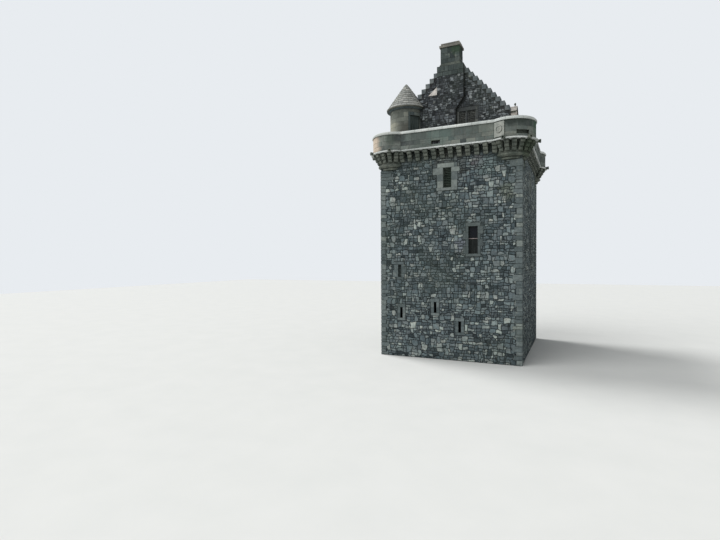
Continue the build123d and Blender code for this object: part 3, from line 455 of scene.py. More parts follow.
# %% Slabs, harling and chimneys
SPREAD = (0.0, 0.4, 0.75, 1.0)
slab_roof = stone_finish(
    "roof_slabs", [(128, 130, 127), (144, 146, 143), (156, 157, 153), (172, 172, 166)], SPREAD,
    damp=(112, 114, 96), damp_share=0.4, lichen=(196, 190, 162), bump=0.006, hollow_shade=0.35,
)
harling = stone_finish(
    "harling", [(196, 186, 178), (214, 204, 196), (226, 218, 208)],
    tone=0.9, grain=0.10, grain_scale=26.0, damp=(120, 118, 108),
)
chimney_stone = stone_finish(
    "chimney_stone", [(50, 57, 57), (62, 70, 69), (74, 82, 80), (92, 98, 94)], SPREAD,
    grain=0.18, damp=(60, 70, 58), damp_share=0.2, bump=0.006, lichen_share=0.2,
    stains_and_light_patches=[((0.45, -4.15, 18.1), 0.5, (56, 78, 54), 0.5)],
)
chimney_cap = stone_finish(
    "chimney_cap_stone", [(96, 96, 92), (120, 118, 111), (142, 138, 128)],
    tone=1.6, grain=0.16, bump=0.004,
)
# Pale as painted sunlight on the sloped broach; the dormer slabs take the same finish
broach_stone = stone_finish(
    "broach_slab", [(166, 162, 157), (186, 181, 175), (202, 196, 189)], tone=2.0
)
print("slab finishes made")

# %% [markdown]
# ## Wood, glass and metal
# The windows hold painted louvres and shutters gone dark with age, the doors are oak boards,
# and the glass is old and a little uneven. Wood grain runs along the boards, so the pattern is
# stretched upwards, or sideways on the slats.

# %% Joinery finishes
UPWARDS, SIDEWAYS = (3.0, 3.0, 0.18), (0.3, 0.3, 3.0)
WOOD_ROUGHNESS = 0.7


def wood_finish(name, shades, worn, stretch=UPWARDS):
    shader = Shader(name)
    grain = shader.noise(6.0, 8.0, 0.65, stretch=stretch)
    colour = shader.ramp(shader.fade(grain, 0.3, 0.7), shades)
    wear = shader.patches(0.45, 0.7, 2.0, 5.0, 0.6)
    colour = shader.coat(colour, wear * 0.3, worn)
    return shader.finish(colour, WOOD_ROUGHNESS, grain, 0.003, specular=0.15)


painted_wood = wood_finish(
    "painted_joinery", [(15, 19, 18), (24, 29, 28), (42, 46, 44)], (58, 60, 57)
)
louvre_wood = wood_finish(
    "weathered_louvres", [(84, 87, 85), (106, 109, 106), (128, 130, 125)], (146, 142, 134), SIDEWAYS
)
slat_wood = wood_finish(
    "green_louvres", [(42, 52, 47), (58, 69, 62), (76, 86, 78)], (88, 92, 84), SIDEWAYS
)
pale_wood = wood_finish(
    "pale_rail", [(108, 100, 100), (130, 121, 120), (150, 140, 138)], (96, 92, 90)
)
door_wood = wood_finish("door_boards", [(54, 62, 60), (70, 80, 77), (90, 98, 94)], (88, 94, 88))
floor_wood = wood_finish(
    "floor_timber", [(92, 72, 52), (120, 96, 70), (142, 118, 90)], (96, 84, 70)
)
print("joinery finishes made")

# %% Glass and iron
shader = Shader("window_glass")
dusk = shader.mix(shader.noise(1.2), srgb(12, 16, 21), srgb(22, 26, 32))
glass = shader.finish(dusk, 0.2, shader.noise(3.0, 2.0), 0.002, specular=0.25)
shader = Shader("wrought_iron")
rust = shader.mix(shader.patches(0.45, 0.65, 14.0, 6.0), srgb(46, 46, 48), srgb(92, 66, 50))
iron = shader.finish(rust, 0.6, shader.noise(30.0, 4.0), 0.002, metallic=0.6)
print("glass and iron finishes made")

# %% Give every solid its finish
FINISHES = {
    mortar: "front_wall rear_wall left_wall right_wall slit_blocking",
    gable_bed: "front_gable rear_gable cap_left_wall cap_right_wall chimney_breast",
    bed_stone: "front_parapet rear_parapet left_parapet right_parapet front_left_round "
    "front_right_round rear_left_round rear_right_round turret_wall front_chimney rear_chimney",
    cope_stone: "straight_copes round_copes straight_ledges round_ledges",
    carved_stone: "carved_block",
    ashlar: "wall_corbels round_corbels round_feet stone_spouts dormer_finial ground_floor "
    "wall_walk",
    gable_dressing: "gable_mullion",
    step_stone: "front_crowsteps rear_crowsteps",
    slab_bed: "turret_roof roof_left roof_right dormer_roof ridge_stones",
    plain_block: "chamber_window_margins",
    chimney_cap: "front_chimney_cope rear_chimney_cope",
    grey_block: "hall_window_margins turret_cornice",
    painted_wood: "hall_window_frames hall_window_shutters dormer_window_frame",
    slat_wood: "chamber_louvres",
    louvre_wood: "gable_louvres",
    door_wood: "entrance_door turret_door",
    floor_wood: "hall_floor chamber_floor garret_floor",
    glass: "hall_window_glass dormer_window_glass",
    harling: "dormer_walls",
}
finished = set()
for finish, names in FINISHES.items():
    for name in names.split():
        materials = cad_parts[name].data.materials
        materials.clear()
        materials.append(finish)
        finished.add(name)
print("nodes without a finish:", sorted(set(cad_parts) - finished))

# %% [markdown]
# ## Laying stones
# A rubble wall is not a pattern but a heap in good order: courses that wander, stones of every
# length, and a few that take up two courses. A grid gives the cells. Its rows become courses of
# uneven height, its corners are jogged, and the lines inside each stone are dissolved. Each
# stone is then drawn in by half a joint, and pushed out with a chamfer round its face. The
# solid wall behind shows between the stones as the mortar.
#
# All this is done lying flat, x along the wall and y up it, and the sheet is stood up or bent
# round a drum at the end.


# %% Sheets of stones
def lay_sheet(left, right, foot, top, course, cell, lengths, tall, jog, draw):
    """A flat sheet of stones that touch, each one face with its own tone."""
    columns = max(2, round((right - left) / cell))
    levels = [foot]
    while levels[-1] < top - 0.6 * course:
        levels.append(levels[-1] + course * draw.uniform(0.72, 1.32))
    levels[-1] = top
    if len(levels) < 3:
        levels = [foot, (foot + top) / 2, top]
    rows = len(levels) - 1
    sheet = bmesh.new()
    bmesh.ops.create_grid(sheet, x_segments=columns, y_segments=rows, size=0.5)
    tone = sheet.faces.layers.float.new("tone")
    cells = {}
    for face in sheet.faces:
        centre = face.calc_center_median()
        cells[int((centre.x + 0.5) * columns), int((centre.y + 0.5) * rows)] = face
    for vert in sheet.verts:
        column = round((vert.co.x + 0.5) * columns)
        row = round((vert.co.y + 0.5) * rows)
        vert.co.x = left + (right - left) * column / columns
        vert.co.y = levels[row]
        if 0 < column < columns:
            drift = noise.noise(Vector((column * 0.33, row * 0.8, left - foot + 5.0)))
            vert.co.x += draw.uniform(-jog, jog) + 2.6 * jog * drift
        if 0 < row < rows:
            drift = noise.noise(Vector((column * 0.21, row * 0.9, left + foot)))
            vert.co.y += draw.uniform(-jog, jog) + 2 * jog * drift
    owner, tall_stones, stones = {}, [], 0
    for row in range(rows):
        column = 0
        while column < columns:
            if (column, row) in owner:
                column += 1
                continue
            length = draw.choice(lengths)
            end = column
            while end < columns and end - column < length and (end, row) not in owner:
                end += 1
            if columns - end == 1 and (columns - 1, row) not in owner:
                end = columns
            both = draw.random() < tall and row + 1 < rows
            courses = (row, row + 1) if both else (row,)
            taken = [(place, level) for place in range(column, end) for level in courses]
            owner.update(dict.fromkeys(taken, stones))
            if both:
                tall_stones.append([cells[key] for key in taken])
            stones += 1
            column = end
    tall_faces = {face for group in tall_stones for face in group}
    names = {face: owner[key] for key, face in cells.items()}
    inner = [
        edge
        for edge in sheet.edges
        if len(edge.link_faces) == 2
        and names[edge.link_faces[0]] == names[edge.link_faces[1]]
        and edge.link_faces[0] not in tall_faces
    ]
    for group in tall_stones:
        bmesh.ops.dissolve_faces(sheet, faces=group)
    bmesh.ops.dissolve_edges(sheet, edges=inner)
    for face in sheet.faces:
        face[tone] = draw.random()
    return sheet


# %% Cutting a sheet to an outline
CUT_REACH = 0.02
CUT_SLACK = 0.0005


def contains(outline, point):
    """Whether a point lies in an outline."""
    odd = False
    for (x1, y1), (x2, y2) in zip(outline, outline[1:] + outline[:1]):
        if (y1 > point.y) != (y2 > point.y):
            odd ^= point.x < (x2 - x1) * (point.y - y1) / (y2 - y1) + x1
    return odd


def extent(face):
    """The left, right, foot and top of a flat stone."""
    xs = [vert.co.x for vert in face.verts]
    ys = [vert.co.y for vert in face.verts]
    return min(xs), max(xs), min(ys), max(ys)


def by_index(part):
    return part.index


def trim(sheet, outline, keep_inside=False):
    """Cuts the sheet along an outline and takes away what lies on one side."""
    for (x1, y1), (x2, y2) in zip(outline, outline[1:] + outline[:1]):
        near = []
        for face in sheet.faces:
            left, right, foot, top = extent(face)
            beside = left < max(x1, x2) + CUT_REACH and right > min(x1, x2) - CUT_REACH
            if beside and foot < max(y1, y2) + CUT_REACH and top > min(y1, y2) - CUT_REACH:
                near.append(face)
        edges = {edge for face in near for edge in face.edges}
        verts = {vert for face in near for vert in face.verts}
        bmesh.ops.bisect_plane(
            sheet,
            geom=near + sorted(edges, key=by_index) + sorted(verts, key=by_index),
            dist=CUT_SLACK,
            plane_co=(x1, y1, 0),
            plane_no=(y1 - y2, x2 - x1, 0),
        )
        sheet.verts.index_update()
        sheet.edges.index_update()
    gone = [f for f in sheet.faces if contains(outline, f.calc_center_median()) != keep_inside]
    bmesh.ops.delete(sheet, geom=gone, context="FACES")


def trim_box(sheet, left, right, foot, top):
    """Takes away what lies in a box."""
    trim(sheet, [(left, foot), (right, foot), (right, top), (left, top)])


# %% Raising the stones
def span(face):
    """How wide a flat stone is at its narrower."""
    left, right, foot, top = extent(face)
    return min(right - left, top - foot)


def cut_back(sheet, parts, width, affect="EDGES"):
    """Takes off edges or corners with a flat chamfer."""
    return bmesh.ops.bevel(
        sheet, geom=parts, offset=width, segments=1, profile=0.5, affect=affect, material=-1
    )


def raise_stones(sheet, joint, chamfer, proud, uneven, draw, least=0.004, nick=0.0):
    """Draws each stone in by half a joint and pushes it out from the wall."""
    narrowest = joint + 0.8 * chamfer
    small = [face for face in sheet.faces if face.calc_area() < least or span(face) < narrowest]
    bmesh.ops.delete(sheet, geom=small, context="FACES")
    ring = bmesh.ops.inset_individual(sheet, faces=list(sheet.faces), thickness=joint / 2)
    bmesh.ops.delete(sheet, geom=ring["faces"], context="FACES")
    if nick:
        sharp = []
        for vert in sheet.verts:
            ends = [edge.other_vert(vert).co - vert.co for edge in vert.link_edges]
            if len(ends) == 2 and min(end.length for end in ends) > 1.6 * nick:
                if ends[0].angle(ends[1]) < radians(130):
                    sharp.append(vert)
        cut_back(sheet, sharp, nick, "VERTICES")
    tops = list(sheet.faces)
    narrow = [face for face in tops if span(face) < 2.6 * chamfer]
    wide = [face for face in tops if span(face) >= 2.6 * chamfer]
    for faces, share in ((wide, 1.0), (narrow, 0.3)):
        if faces:
            bmesh.ops.inset_individual(sheet, faces=faces, thickness=share * chamfer, depth=proud)
    for face in tops:
        centre = face.calc_center_median()
        lift = draw.uniform(-uneven, uneven)
        lean = draw.uniform(-uneven, uneven) * 2
        tip = draw.uniform(-uneven, uneven) * 2
        for vert in face.verts:
            away = vert.co - centre
            vert.co.z = max(0.002, vert.co.z + lift + lean * away.x + tip * away.y)


# %% Placing a sheet and making the piece
TURNS = {"front": 0, "right": 90, "rear": 180, "left": 270}
UPRIGHT = turned(90, "X")


def slice_sheet(sheet, length, spare=0.0):
    """Cuts the sheet into narrow slices, so that it can bend."""
    cut = min(vert.co.x for vert in sheet.verts) + length
    last = max(vert.co.x for vert in sheet.verts) - spare * length
    while cut < last:
        bmesh.ops.bisect_plane(
            sheet,
            geom=list(sheet.verts) + list(sheet.edges) + list(sheet.faces),
            dist=CUT_SLACK,
            plane_co=(cut, 0, 0),
            plane_no=(1, 0, 0),
        )
        cut += length


def bend(sheet, radius, centre, length):
    """Bends the sheet round a drum."""
    slice_sheet(sheet, length, 0.2)
    for vert in sheet.verts:
        turn = vert.co.x / radius
        reach = radius + vert.co.z
        vert.co = (centre[0] + reach * sin(turn), centre[1] - reach * cos(turn), vert.co.y)


def finish_piece(sheet, name, material):
    """Makes the piece, gives it its finish and ties it to the tower."""
    mesh = settle(sheet, name)
    mesh.materials.append(material)
    piece = add_object(name, mesh)
    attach(piece, "root")
    triangles = sum(len(polygon.vertices) - 2 for polygon in mesh.polygons)
    print(f"{name}: {triangles} triangles")


def stand_piece(sheet, name, side, distance, material):
    """Stands a flat sheet against one side of the tower, above the ground, as a piece."""
    for vert in sheet.verts:
        vert.co.y = max(vert.co.y, 0.0)
    place = turned(TURNS[side], "Z") @ Matrix.Translation((0, -distance, 0)) @ UPRIGHT
    bmesh.ops.transform(sheet, matrix=place, verts=sheet.verts)
    finish_piece(sheet, name, material)


# %% [markdown]
# ## The four walls
# Each wall is one sheet, from the ground to the underside of the ledge. The stones stop at the
# dressed margins of the windows, at the slits, the moulded feet of the rounds and the quoins.
# A window's margin has a sill, a lintel, and jambs of long and short stones in turn.

# %% Windows, slits and their stones
HALF_WIDTH, HALF_DEPTH = 4.065, 4.915
FACES = {
    "front": (HALF_WIDTH, HALF_DEPTH),
    "right": (HALF_DEPTH, HALF_WIDTH),
    "rear": (HALF_WIDTH, HALF_DEPTH),
    "left": (HALF_DEPTH, HALF_WIDTH),
}
Window = namedtuple("Window", "sill height half short long head rows tones")
HALL = Window(6.10, 1.54, 0.26, 0.42, 0.55, 0.20, 4, (0.0, 0.5))
CHAMBER = Window(9.90, 1.15, 0.24, 0.58, 0.74, 0.25, 3, (0.4, 1.0))
WINDOWS = {"front": (1.47, 0.01), "right": (0, 0), "rear": (0, 0), "left": (0, 0)}
SLITS = {
    "front": [(-2.785, 2.305), (-0.715, 2.68), (0.715, 1.62)],
    "right": [(0.0, 2.30)],
    "rear": [],
    "left": [(0.0, 2.30)],
}
SLIT_HALF, SLIT_HEIGHT, SLIT_REACH = 0.075, 0.64, 0.255
SILL_STONE, SLIT_HEAD = 0.15, 0.20
BLOCKED_X, BLOCKED_SILL, BLOCKED_HALF, BLOCKED_HEIGHT = -2.885, 4.75, 0.095, 0.75

# Stones round the front chamber window and the blocked slit: left, right, foot and top,
# from the middle of the sill.
FRONT_CHAMBER_STONES = [
    (-0.565, 0.40, 1.15, 1.40), (0.40, 0.58, 1.15, 1.40), (-0.84, -0.24, 0.75, 1.15),
    (0.24, 0.71, 0.88, 1.15), (-0.61, -0.24, 0.38, 0.75), (-0.58, -0.24, 0.0, 0.38),
    (0.24, 0.60, 0.42, 0.88), (0.24, 0.58, 0.0, 0.42), (-0.63, 0.58, -0.16, 0.0),
]
BLOCKED_SLIT_STONES = [
    (-0.45, -0.095, 0.0, 0.42), (-0.36, -0.095, 0.42, 0.75), (0.095, 0.30, 0.0, 0.20),
    (0.095, 0.43, 0.20, 0.62), (0.095, 0.32, 0.62, 0.75), (-0.20, 0.22, -0.12, 0.0),
    (-0.24, 0.26, 0.75, 0.92),
]


def surround(window, draw):
    """Sill, lintel and jambs of long and short stones for a window."""
    short, long, height = window.short, window.long, window.height
    stones = [(-short, short, -SILL_STONE, 0.0), (-short, short, height, height + window.head)]
    for sign in (-1, 1):
        level, reach = 0.0, draw.choice((short, long))
        for row in range(1, window.rows + 1):
            top = height
            if row < window.rows:
                top = height * (row + draw.uniform(-0.15, 0.15)) / window.rows
            stones.append((*sorted((sign * window.half, sign * reach)), level, top))
            level, reach = top, short + long - reach
    return stones


def placed(stones, x, sill):
    """Moves stones to where their window is on the wall."""
    return [
        (x + left, x + right, sill + foot, sill + top) for left, right, foot, top in stones
    ]


draw = random.Random(5)
WINDOW_STONES = {}
for side, (hall_x, chamber_x) in WINDOWS.items():
    hall, chamber = surround(HALL, draw), surround(CHAMBER, draw)
    if side == "front":
        chamber = FRONT_CHAMBER_STONES
    WINDOW_STONES[side] = [(hall_x, HALL, hall), (chamber_x, CHAMBER, chamber)]
print("margins of", 2 * len(WINDOW_STONES), "windows worked out")

# %% Wall rubble
# Courses are the height of a course, the length of a cell, the lengths of stones in cells, the
# share of tall stones, and the jog. Stones are the joint, the chamfer, how proud, how uneven.
WALL_TOP = 12.14
STONE_LENGTHS, TALL_SHARE = (1, 2, 2, 3), 0.16
WALL_COURSES = (0.155, 0.115, STONE_LENGTHS, TALL_SHARE, 0.034)
WALL_STONES = (0.034, 0.020, 0.021, 0.007)
QUOIN_REACH = 0.20
FEET_LEVEL, FEET_REACH, FEET_MIDDLE = 11.17, 0.70, 0.59
DOOR_CENTRE, DOOR_SPRING = 1.2, 1.5
ARCH_INNER, ARCH_OUTER = 0.50, 0.72
BELOW_GROUND = -0.1

for number, (side, (half, distance)) in enumerate(FACES.items()):
    draw = random.Random(100 + number)
    wall = lay_sheet(-half, half, 0.0, WALL_TOP, *WALL_COURSES, draw)
    jutting = []
    for x, window, stones in WINDOW_STONES[side]:
        foot, top = window.sill - SILL_STONE, window.sill + window.height + window.head
        trim_box(wall, x - window.short, x + window.short, foot, top)
        longer = [stone for stone in stones if max(-stone[0], stone[1]) > window.short + 0.01]
        jutting += placed(longer, x, window.sill)
    for x, sill in SLITS[side]:
        top = sill + SLIT_HEIGHT + SLIT_HEAD
        trim_box(wall, x - SLIT_REACH, x + SLIT_REACH, sill - SILL_STONE, top)
    if side == "front":
        left, right = BLOCKED_X - BLOCKED_HALF, BLOCKED_X + BLOCKED_HALF
        trim_box(wall, left, right, BLOCKED_SILL, BLOCKED_SILL + BLOCKED_HEIGHT)
        jutting += placed(BLOCKED_SLIT_STONES, BLOCKED_X, BLOCKED_SILL)
    for outline in jutting:
        trim_box(wall, *outline)
    if side == "rear":
        arch = [
            (-DOOR_CENTRE + ARCH_OUTER * cos(turn), DOOR_SPRING + ARCH_OUTER * sin(turn))
            for turn in turns(0, 181, 20)
        ]
        feet = [(-DOOR_CENTRE + reach, BELOW_GROUND) for reach in (ARCH_OUTER, -ARCH_OUTER)]
        trim(wall, [feet[0], *arch, feet[1]])
    for corner in (-1, 1):
        left, right = sorted((corner * half, corner * half - corner * QUOIN_REACH))
        trim_box(wall, left - 0.1, right + 0.1, BELOW_GROUND, FEET_LEVEL)
        middle = corner * (half - FEET_MIDDLE)
        trim_box(wall, middle - FEET_REACH, middle + FEET_REACH, FEET_LEVEL, 12.3)
    raise_stones(wall, *WALL_STONES, draw, nick=0.030)
    stand_piece(wall, side + "_rubble", side, distance, rubble)

# %% [markdown]
# ## Corners, slits and the blocked slit
# The corners are bonded with larger squared blocks, long and short in turn. Each is a box with
# its edges taken off, and it runs back into the solid wall so that it can't float. The slits
# have a sill, a lintel and jambs of the same stone, and the windows have long and short stones
# of their own.


# %% Squared blocks
def add_block(sheet, low, high, chamfer, number, turn=0):
    """Adds a squared block between two corners, perhaps turned about the tower's middle."""
    size = Vector(high) - Vector(low)
    middle = (Vector(high) + Vector(low)) / 2
    place = Matrix.Translation(middle) @ Matrix.Diagonal((*size, 1.0))
    made = bmesh.ops.create_cube(sheet, size=1.0, matrix=turned(turn, "Z") @ place)
    verts = set(made["verts"])
    if chamfer:
        edges = sorted({edge for vert in verts for edge in vert.link_edges}, key=by_index)
        cut = cut_back(sheet, edges, chamfer)
        verts = {vert for face in cut["faces"] for vert in face.verts}
    tone = sheet.faces.layers.float.get("tone") or sheet.faces.layers.float.new("tone")
    for face in {face for vert in verts for face in vert.link_faces}:
        face[tone] = number


def add_wall_stone(sheet, side, distance, outline, proud, deep, chamfer, number, gap=0.003):
    """Adds a squared block to a side of the tower, its outline given flat on the wall."""
    left, right, foot, top = outline
    low = (left + gap, -distance - proud, foot + 0.003)
    high = (right - gap, -distance + deep, top - 0.003)
    add_block(sheet, low, high, chamfer, number, TURNS[side])


def uneven_courses(top, lowest, highest, least, draw):
    """The foot and head of each course, with no thin course at the top."""
    foot = 0.0
    while foot < top:
        head = foot + draw.uniform(lowest, highest)
        if top - head < least:
            head = top
        yield foot, head
        foot = head


# %% Quoins
quoin_stone = stone_finish(
    "quoin_stone", [(78, 87, 88), (94, 103, 104), (110, 118, 117), (130, 137, 132)],
    (0.0, 0.35, 0.75, 1.0),
    bump=0.008, lichen_share=0.3, streaks=(12.2, 10.2, (66, 73, 68), 0.4),
)
QUOIN_TOP, QUOIN_PROUD = 11.165, 0.034
BEARING_FROM = 10.55

draw = random.Random(7)
quoins = bmesh.new()
for x_sign in (-1, 1):
    for y_sign in (-1, 1):
        long_along_x = draw.random() < 0.5
        for foot, top in uneven_courses(QUOIN_TOP, 0.15, 0.36, 0.12, draw):
            along, across = draw.uniform(0.32, 0.49), draw.uniform(0.27, 0.31)
            if not long_along_x:
                along, across = across, along
            if foot > BEARING_FROM:
                along = across = draw.uniform(0.62, 0.92)
            xs = sorted((x_sign * (HALF_WIDTH + QUOIN_PROUD), x_sign * (HALF_WIDTH - along)))
            ys = sorted((y_sign * (HALF_DEPTH + QUOIN_PROUD), y_sign * (HALF_DEPTH - across)))
            low, high = zip(xs, ys, (foot + 0.005, top - 0.005))
            add_block(quoins, low, high, 0.018, draw.random())
            long_along_x = long_along_x if draw.random() < 0.15 else not long_along_x
finish_piece(quoins, "quoins", quoin_stone)

# %% Margins of the slits and windows
SLIT_PROUD, SLIT_DEEP = 0.020, 0.10
slit_stones = bmesh.new()
for side, places in SLITS.items():
    for x, sill in places:
        head = sill + SLIT_HEIGHT
        parts = [
            (-SLIT_REACH, SLIT_REACH, sill - SILL_STONE, sill),
            (-SLIT_REACH, SLIT_REACH, head, head + SLIT_HEAD),
        ]
        split = sill + SLIT_HEIGHT * draw.uniform(0.4, 0.6)
        for foot, top in ((sill, split), (split, head)):
            parts.append((-SLIT_REACH, -SLIT_HALF, foot, top))
            parts.append((SLIT_HALF, SLIT_REACH, foot, top))
        for stone in placed(parts, x, 0):
            tone = draw.random() * 0.8
            add_wall_stone(
                slit_stones, side, FACES[side][1], stone, SLIT_PROUD, SLIT_DEEP, 0.008, tone
            )
for stone in placed(BLOCKED_SLIT_STONES, BLOCKED_X, BLOCKED_SILL):
    tone = draw.uniform(0.0, 0.4)
    add_wall_stone(slit_stones, "front", HALF_DEPTH, stone, SLIT_PROUD, SLIT_DEEP, 0.008, tone)
finish_piece(slit_stones, "slit_margins", quoin_stone)

window_stone = stone_finish(
    "window_stone", [(74, 82, 83), (90, 98, 98), (114, 121, 119), (136, 143, 138)],
    (0.0, 0.4, 0.7, 1.0),
    grain=0.16, bump=0.005, lichen_share=0.15,
)
WINDOW_PROUD, WINDOW_DEEP = 0.026, 0.05
window_blocks = bmesh.new()
for side, windows in WINDOW_STONES.items():
    for x, window, stones in windows:
        for stone in placed(stones, x, window.sill):
            tone = draw.uniform(*window.tones)
            add_wall_stone(
                window_blocks, side, FACES[side][1], stone, WINDOW_PROUD, WINDOW_DEEP, 0.006, tone,
                gap=0.002,
            )
finish_piece(window_blocks, "window_surrounds", window_stone)

# %% [markdown]
# ## Cap-house and chimney breast
# The gables are of smaller, darker rubble. The front one carries a chimney breast that steps
# forward, moves sideways on a slanting edge and rises into the chimney. The sheets follow the
# same outlines as the solids: under the stepped stones, round the window, and up the breast.

# %% Gable rubble
WALK_LEVEL, SHEET_TOP = 12.25, 17.2
CAP_HALF, CAP_EAVES, FLANK_HALF, FLANK_TOP = 3.30, 13.86, 3.36, 13.72
GABLE_OUTLINE = [
    (-CAP_HALF, WALK_LEVEL), (CAP_HALF, WALK_LEVEL), (CAP_HALF, CAP_EAVES),
    (0.528, 16.87), (-0.528, 16.87), (-CAP_HALF, CAP_EAVES),
]
BREAST_OUTLINE = [
    (-1.32, WALK_LEVEL), (0.32, WALK_LEVEL), (0.32, 14.54), (0.78, 15.22),
    (0.78, 17.15), (-0.78, 17.15), (-0.78, 15.50), (-1.32, 15.50),
]
BROACH = [(-1.32, 15.50), (-0.78, 15.50), (-0.78, 16.10)]
GABLE_WINDOW = (0.49, 1.44, 13.20, 14.40)
WINDOW_LEFT, WINDOW_RIGHT, WINDOW_SILL = 0.16, 0.14, 0.14
GABLE_PLANE, BREAST_PLANE = 3.96, 4.17
BLOCKS_FOOT = 16.56
SMALL_COURSES = (0.118, 0.086, STONE_LENGTHS, TALL_SHARE, 0.024)
SMALL_STONES = (0.026, 0.013, 0.015, 0.005)


def small_rubble(left, right, top, draw):
    return lay_sheet(left, right, WALK_LEVEL, top, *SMALL_COURSES, draw)


def stand_rubble(sheet, name, side, distance, draw):
    raise_stones(sheet, *SMALL_STONES, draw, least=0.002, nick=0.021)
    stand_piece(sheet, name, side, distance, gable_rubble)


draw = random.Random(21)
gable = small_rubble(-CAP_HALF, CAP_HALF, SHEET_TOP, draw)
trim(gable, GABLE_OUTLINE, keep_inside=True)
trim(gable, BREAST_OUTLINE)
trim(gable, BROACH)
left, right, foot, top = GABLE_WINDOW
trim_box(gable, left - 0.17, right + WINDOW_RIGHT, foot - WINDOW_SILL, top + 0.24)
trim_box(gable, -3.9, -1.90, 12.0, 14.93)
stand_rubble(gable, "front_gable_rubble", "front", GABLE_PLANE, draw)

breast = small_rubble(-1.32, 0.78, SHEET_TOP, draw)
trim(breast, BREAST_OUTLINE, keep_inside=True)
trim_box(breast, -0.9, 0.9, BLOCKS_FOOT, 17.3)
stand_rubble(breast, "breast_rubble", "front", BREAST_PLANE, draw)

gable = small_rubble(-CAP_HALF, CAP_HALF, SHEET_TOP, draw)
trim(gable, GABLE_OUTLINE, keep_inside=True)
stand_rubble(gable, "rear_gable_rubble", "rear", GABLE_PLANE, draw)

for side in ("left", "right"):
    flank = small_rubble(-FLANK_HALF, FLANK_HALF, FLANK_TOP, draw)
    if side == "left":
        trim_box(flank, 2.70, 3.5, 12.0, 14.0)
    stand_rubble(flank, side + "_cap_rubble", side, CAP_HALF, draw)

# %% [markdown]
# ## Parapet
# The parapet is of large, smooth, squared blocks with joints like pencil lines. The straights
# are flat sheets with a drain slot each. The rounds are the same sheets bent round a drum, from
# one mitre to the other.

# %% Parapet blocks
SLOT_FOOT, SLOT_TOP = 12.37, 12.58
SLOT_LEFT, SLOT_RIGHT, SLOT_REACH = -0.82, -0.31, 0.358
PARAPET_TOP = 13.15
ROUND_RADIUS, ROUND_SWEEP = 1.24, 170
STRAIGHTS = {"front": (2.678, 5.275), "right": (3.528, 4.425)}
STRAIGHTS.update(rear=STRAIGHTS["front"], left=STRAIGHTS["right"])
# Each round's place, where its sheet starts and where its blind slot is, in degrees
ROUNDS = {
    "front_right": (1, -1, -40, 34),
    "front_left": (-1, -1, -130, None),
    "rear_right": (1, 1, 50, 146),
    "rear_left": (-1, 1, -220, None),
}
DARK_STONES = [(-2.45, 12.60), (-1.9, 12.60), (0.95, 12.4)]
FINE_STONES = (0.007, 0.004, 0.007, 0.0015)


def square_blocks(left, right, foot, top, draw, course=0.30, cell=0.17):
    return lay_sheet(left, right, foot, top, course, cell, (2, 3, 3, 4, 5), 0.0, 0.002, draw)


def darken(sheet, places):
    """Gives the stones that cover some places the darkest tone."""
    tone = sheet.faces.layers.float["tone"]
    for x, y in places:
        for face in sheet.faces:
            if contains([vert.co.to_2d()[:] for vert in face.verts], Vector((x, y))):
                face[tone] = 0.05


draw = random.Random(31)
for side, (half, distance) in STRAIGHTS.items():
    blocks = square_blocks(-half, half, WALK_LEVEL, PARAPET_TOP, draw)
    trim_box(blocks, SLOT_LEFT, SLOT_RIGHT, SLOT_FOOT, SLOT_TOP)
    if side == "front":
        darken(blocks, DARK_STONES)
    raise_stones(blocks, *FINE_STONES, draw)
    stand_piece(blocks, side + "_parapet_blocks", side, distance, ashlar_blocks)

for name, (x_sign, y_sign, first, slot) in ROUNDS.items():
    left, right = (radians(turn) * ROUND_RADIUS for turn in (first, first + ROUND_SWEEP))
    blocks = square_blocks(left, right, WALK_LEVEL, PARAPET_TOP, draw)
    if slot is not None:
        middle = radians(slot) * ROUND_RADIUS
        trim_box(blocks, middle - SLOT_REACH, middle + SLOT_REACH, SLOT_FOOT, SLOT_TOP)
    if name == "front_right":
        left, right = (radians(turn) * ROUND_RADIUS for turn in (-38.2, -10.8))
        trim_box(blocks, left, right, 12.30, 13.11)
    raise_stones(blocks, *FINE_STONES, draw)
    bend(blocks, ROUND_RADIUS, (x_sign * ROUND_CENTRE[0], y_sign * ROUND_CENTRE[1]), 0.13)
    finish_piece(blocks, name + "_round_blocks", ashlar_blocks)

# %% [markdown]
# ## Stair turret
# The turret is a drum of pale squared stone under a cone of thin stone slabs, laid like slates,
# each course lapping the one below. The drum is a sheet bent round. The cone is a few flat
# bands, each wrapped so that its top edge closes more than its foot. A slab's lower edge is
# lifted before the wrapping, which gives the laps.

# %% Turret drum
turret_stone = stone_finish(
    "turret_stone", [(92, 96, 91), (108, 112, 106), (120, 123, 115), (138, 139, 129)], SPREAD,
    grain=0.12, bump=0.005, damp=(84, 88, 80), damp_share=0.45, lichen_share=0.2,
    streaks=(15.0, 13.6, (78, 80, 73), 0.5),
    stains_and_light_patches=[
        # Painted sunlight on the left of the drum
        ((-3.75, -4.25, 13.4), 1.1, (160, 159, 144), 0.8),
        # Painted shade on the right of the drum, away from the sun
        ((-2.50, -4.62, 13.5), 0.75, (74, 73, 68), 0.7),
    ],
)
TURRET, TURRET_RADIUS, TURRET_TOP = (-2.85, -3.70), 0.99, 14.845
DOORWAY, JAMBS_TURN, LEAF_TURN = 53.0, 27.5, 20.75
DOOR_FOOT, DOOR_TOP = 12.50, 14.46
TURRET_SLICE = 0.11


def round_turret(turn):
    """How far along the unrolled drum a direction lies."""
    return radians(turn) * TURRET_RADIUS


draw = random.Random(41)
drum = square_blocks(
    round_turret(-154), round_turret(77), WALK_LEVEL, TURRET_TOP, draw, 0.26, 0.13
)
left, right = round_turret(DOORWAY - JAMBS_TURN), round_turret(DOORWAY + JAMBS_TURN)
trim_box(drum, left, right, 12.40, 14.66)
raise_stones(drum, *FINE_STONES, draw)
bend(drum, TURRET_RADIUS, TURRET, TURRET_SLICE)
finish_piece(drum, "turret_blocks", turret_stone)


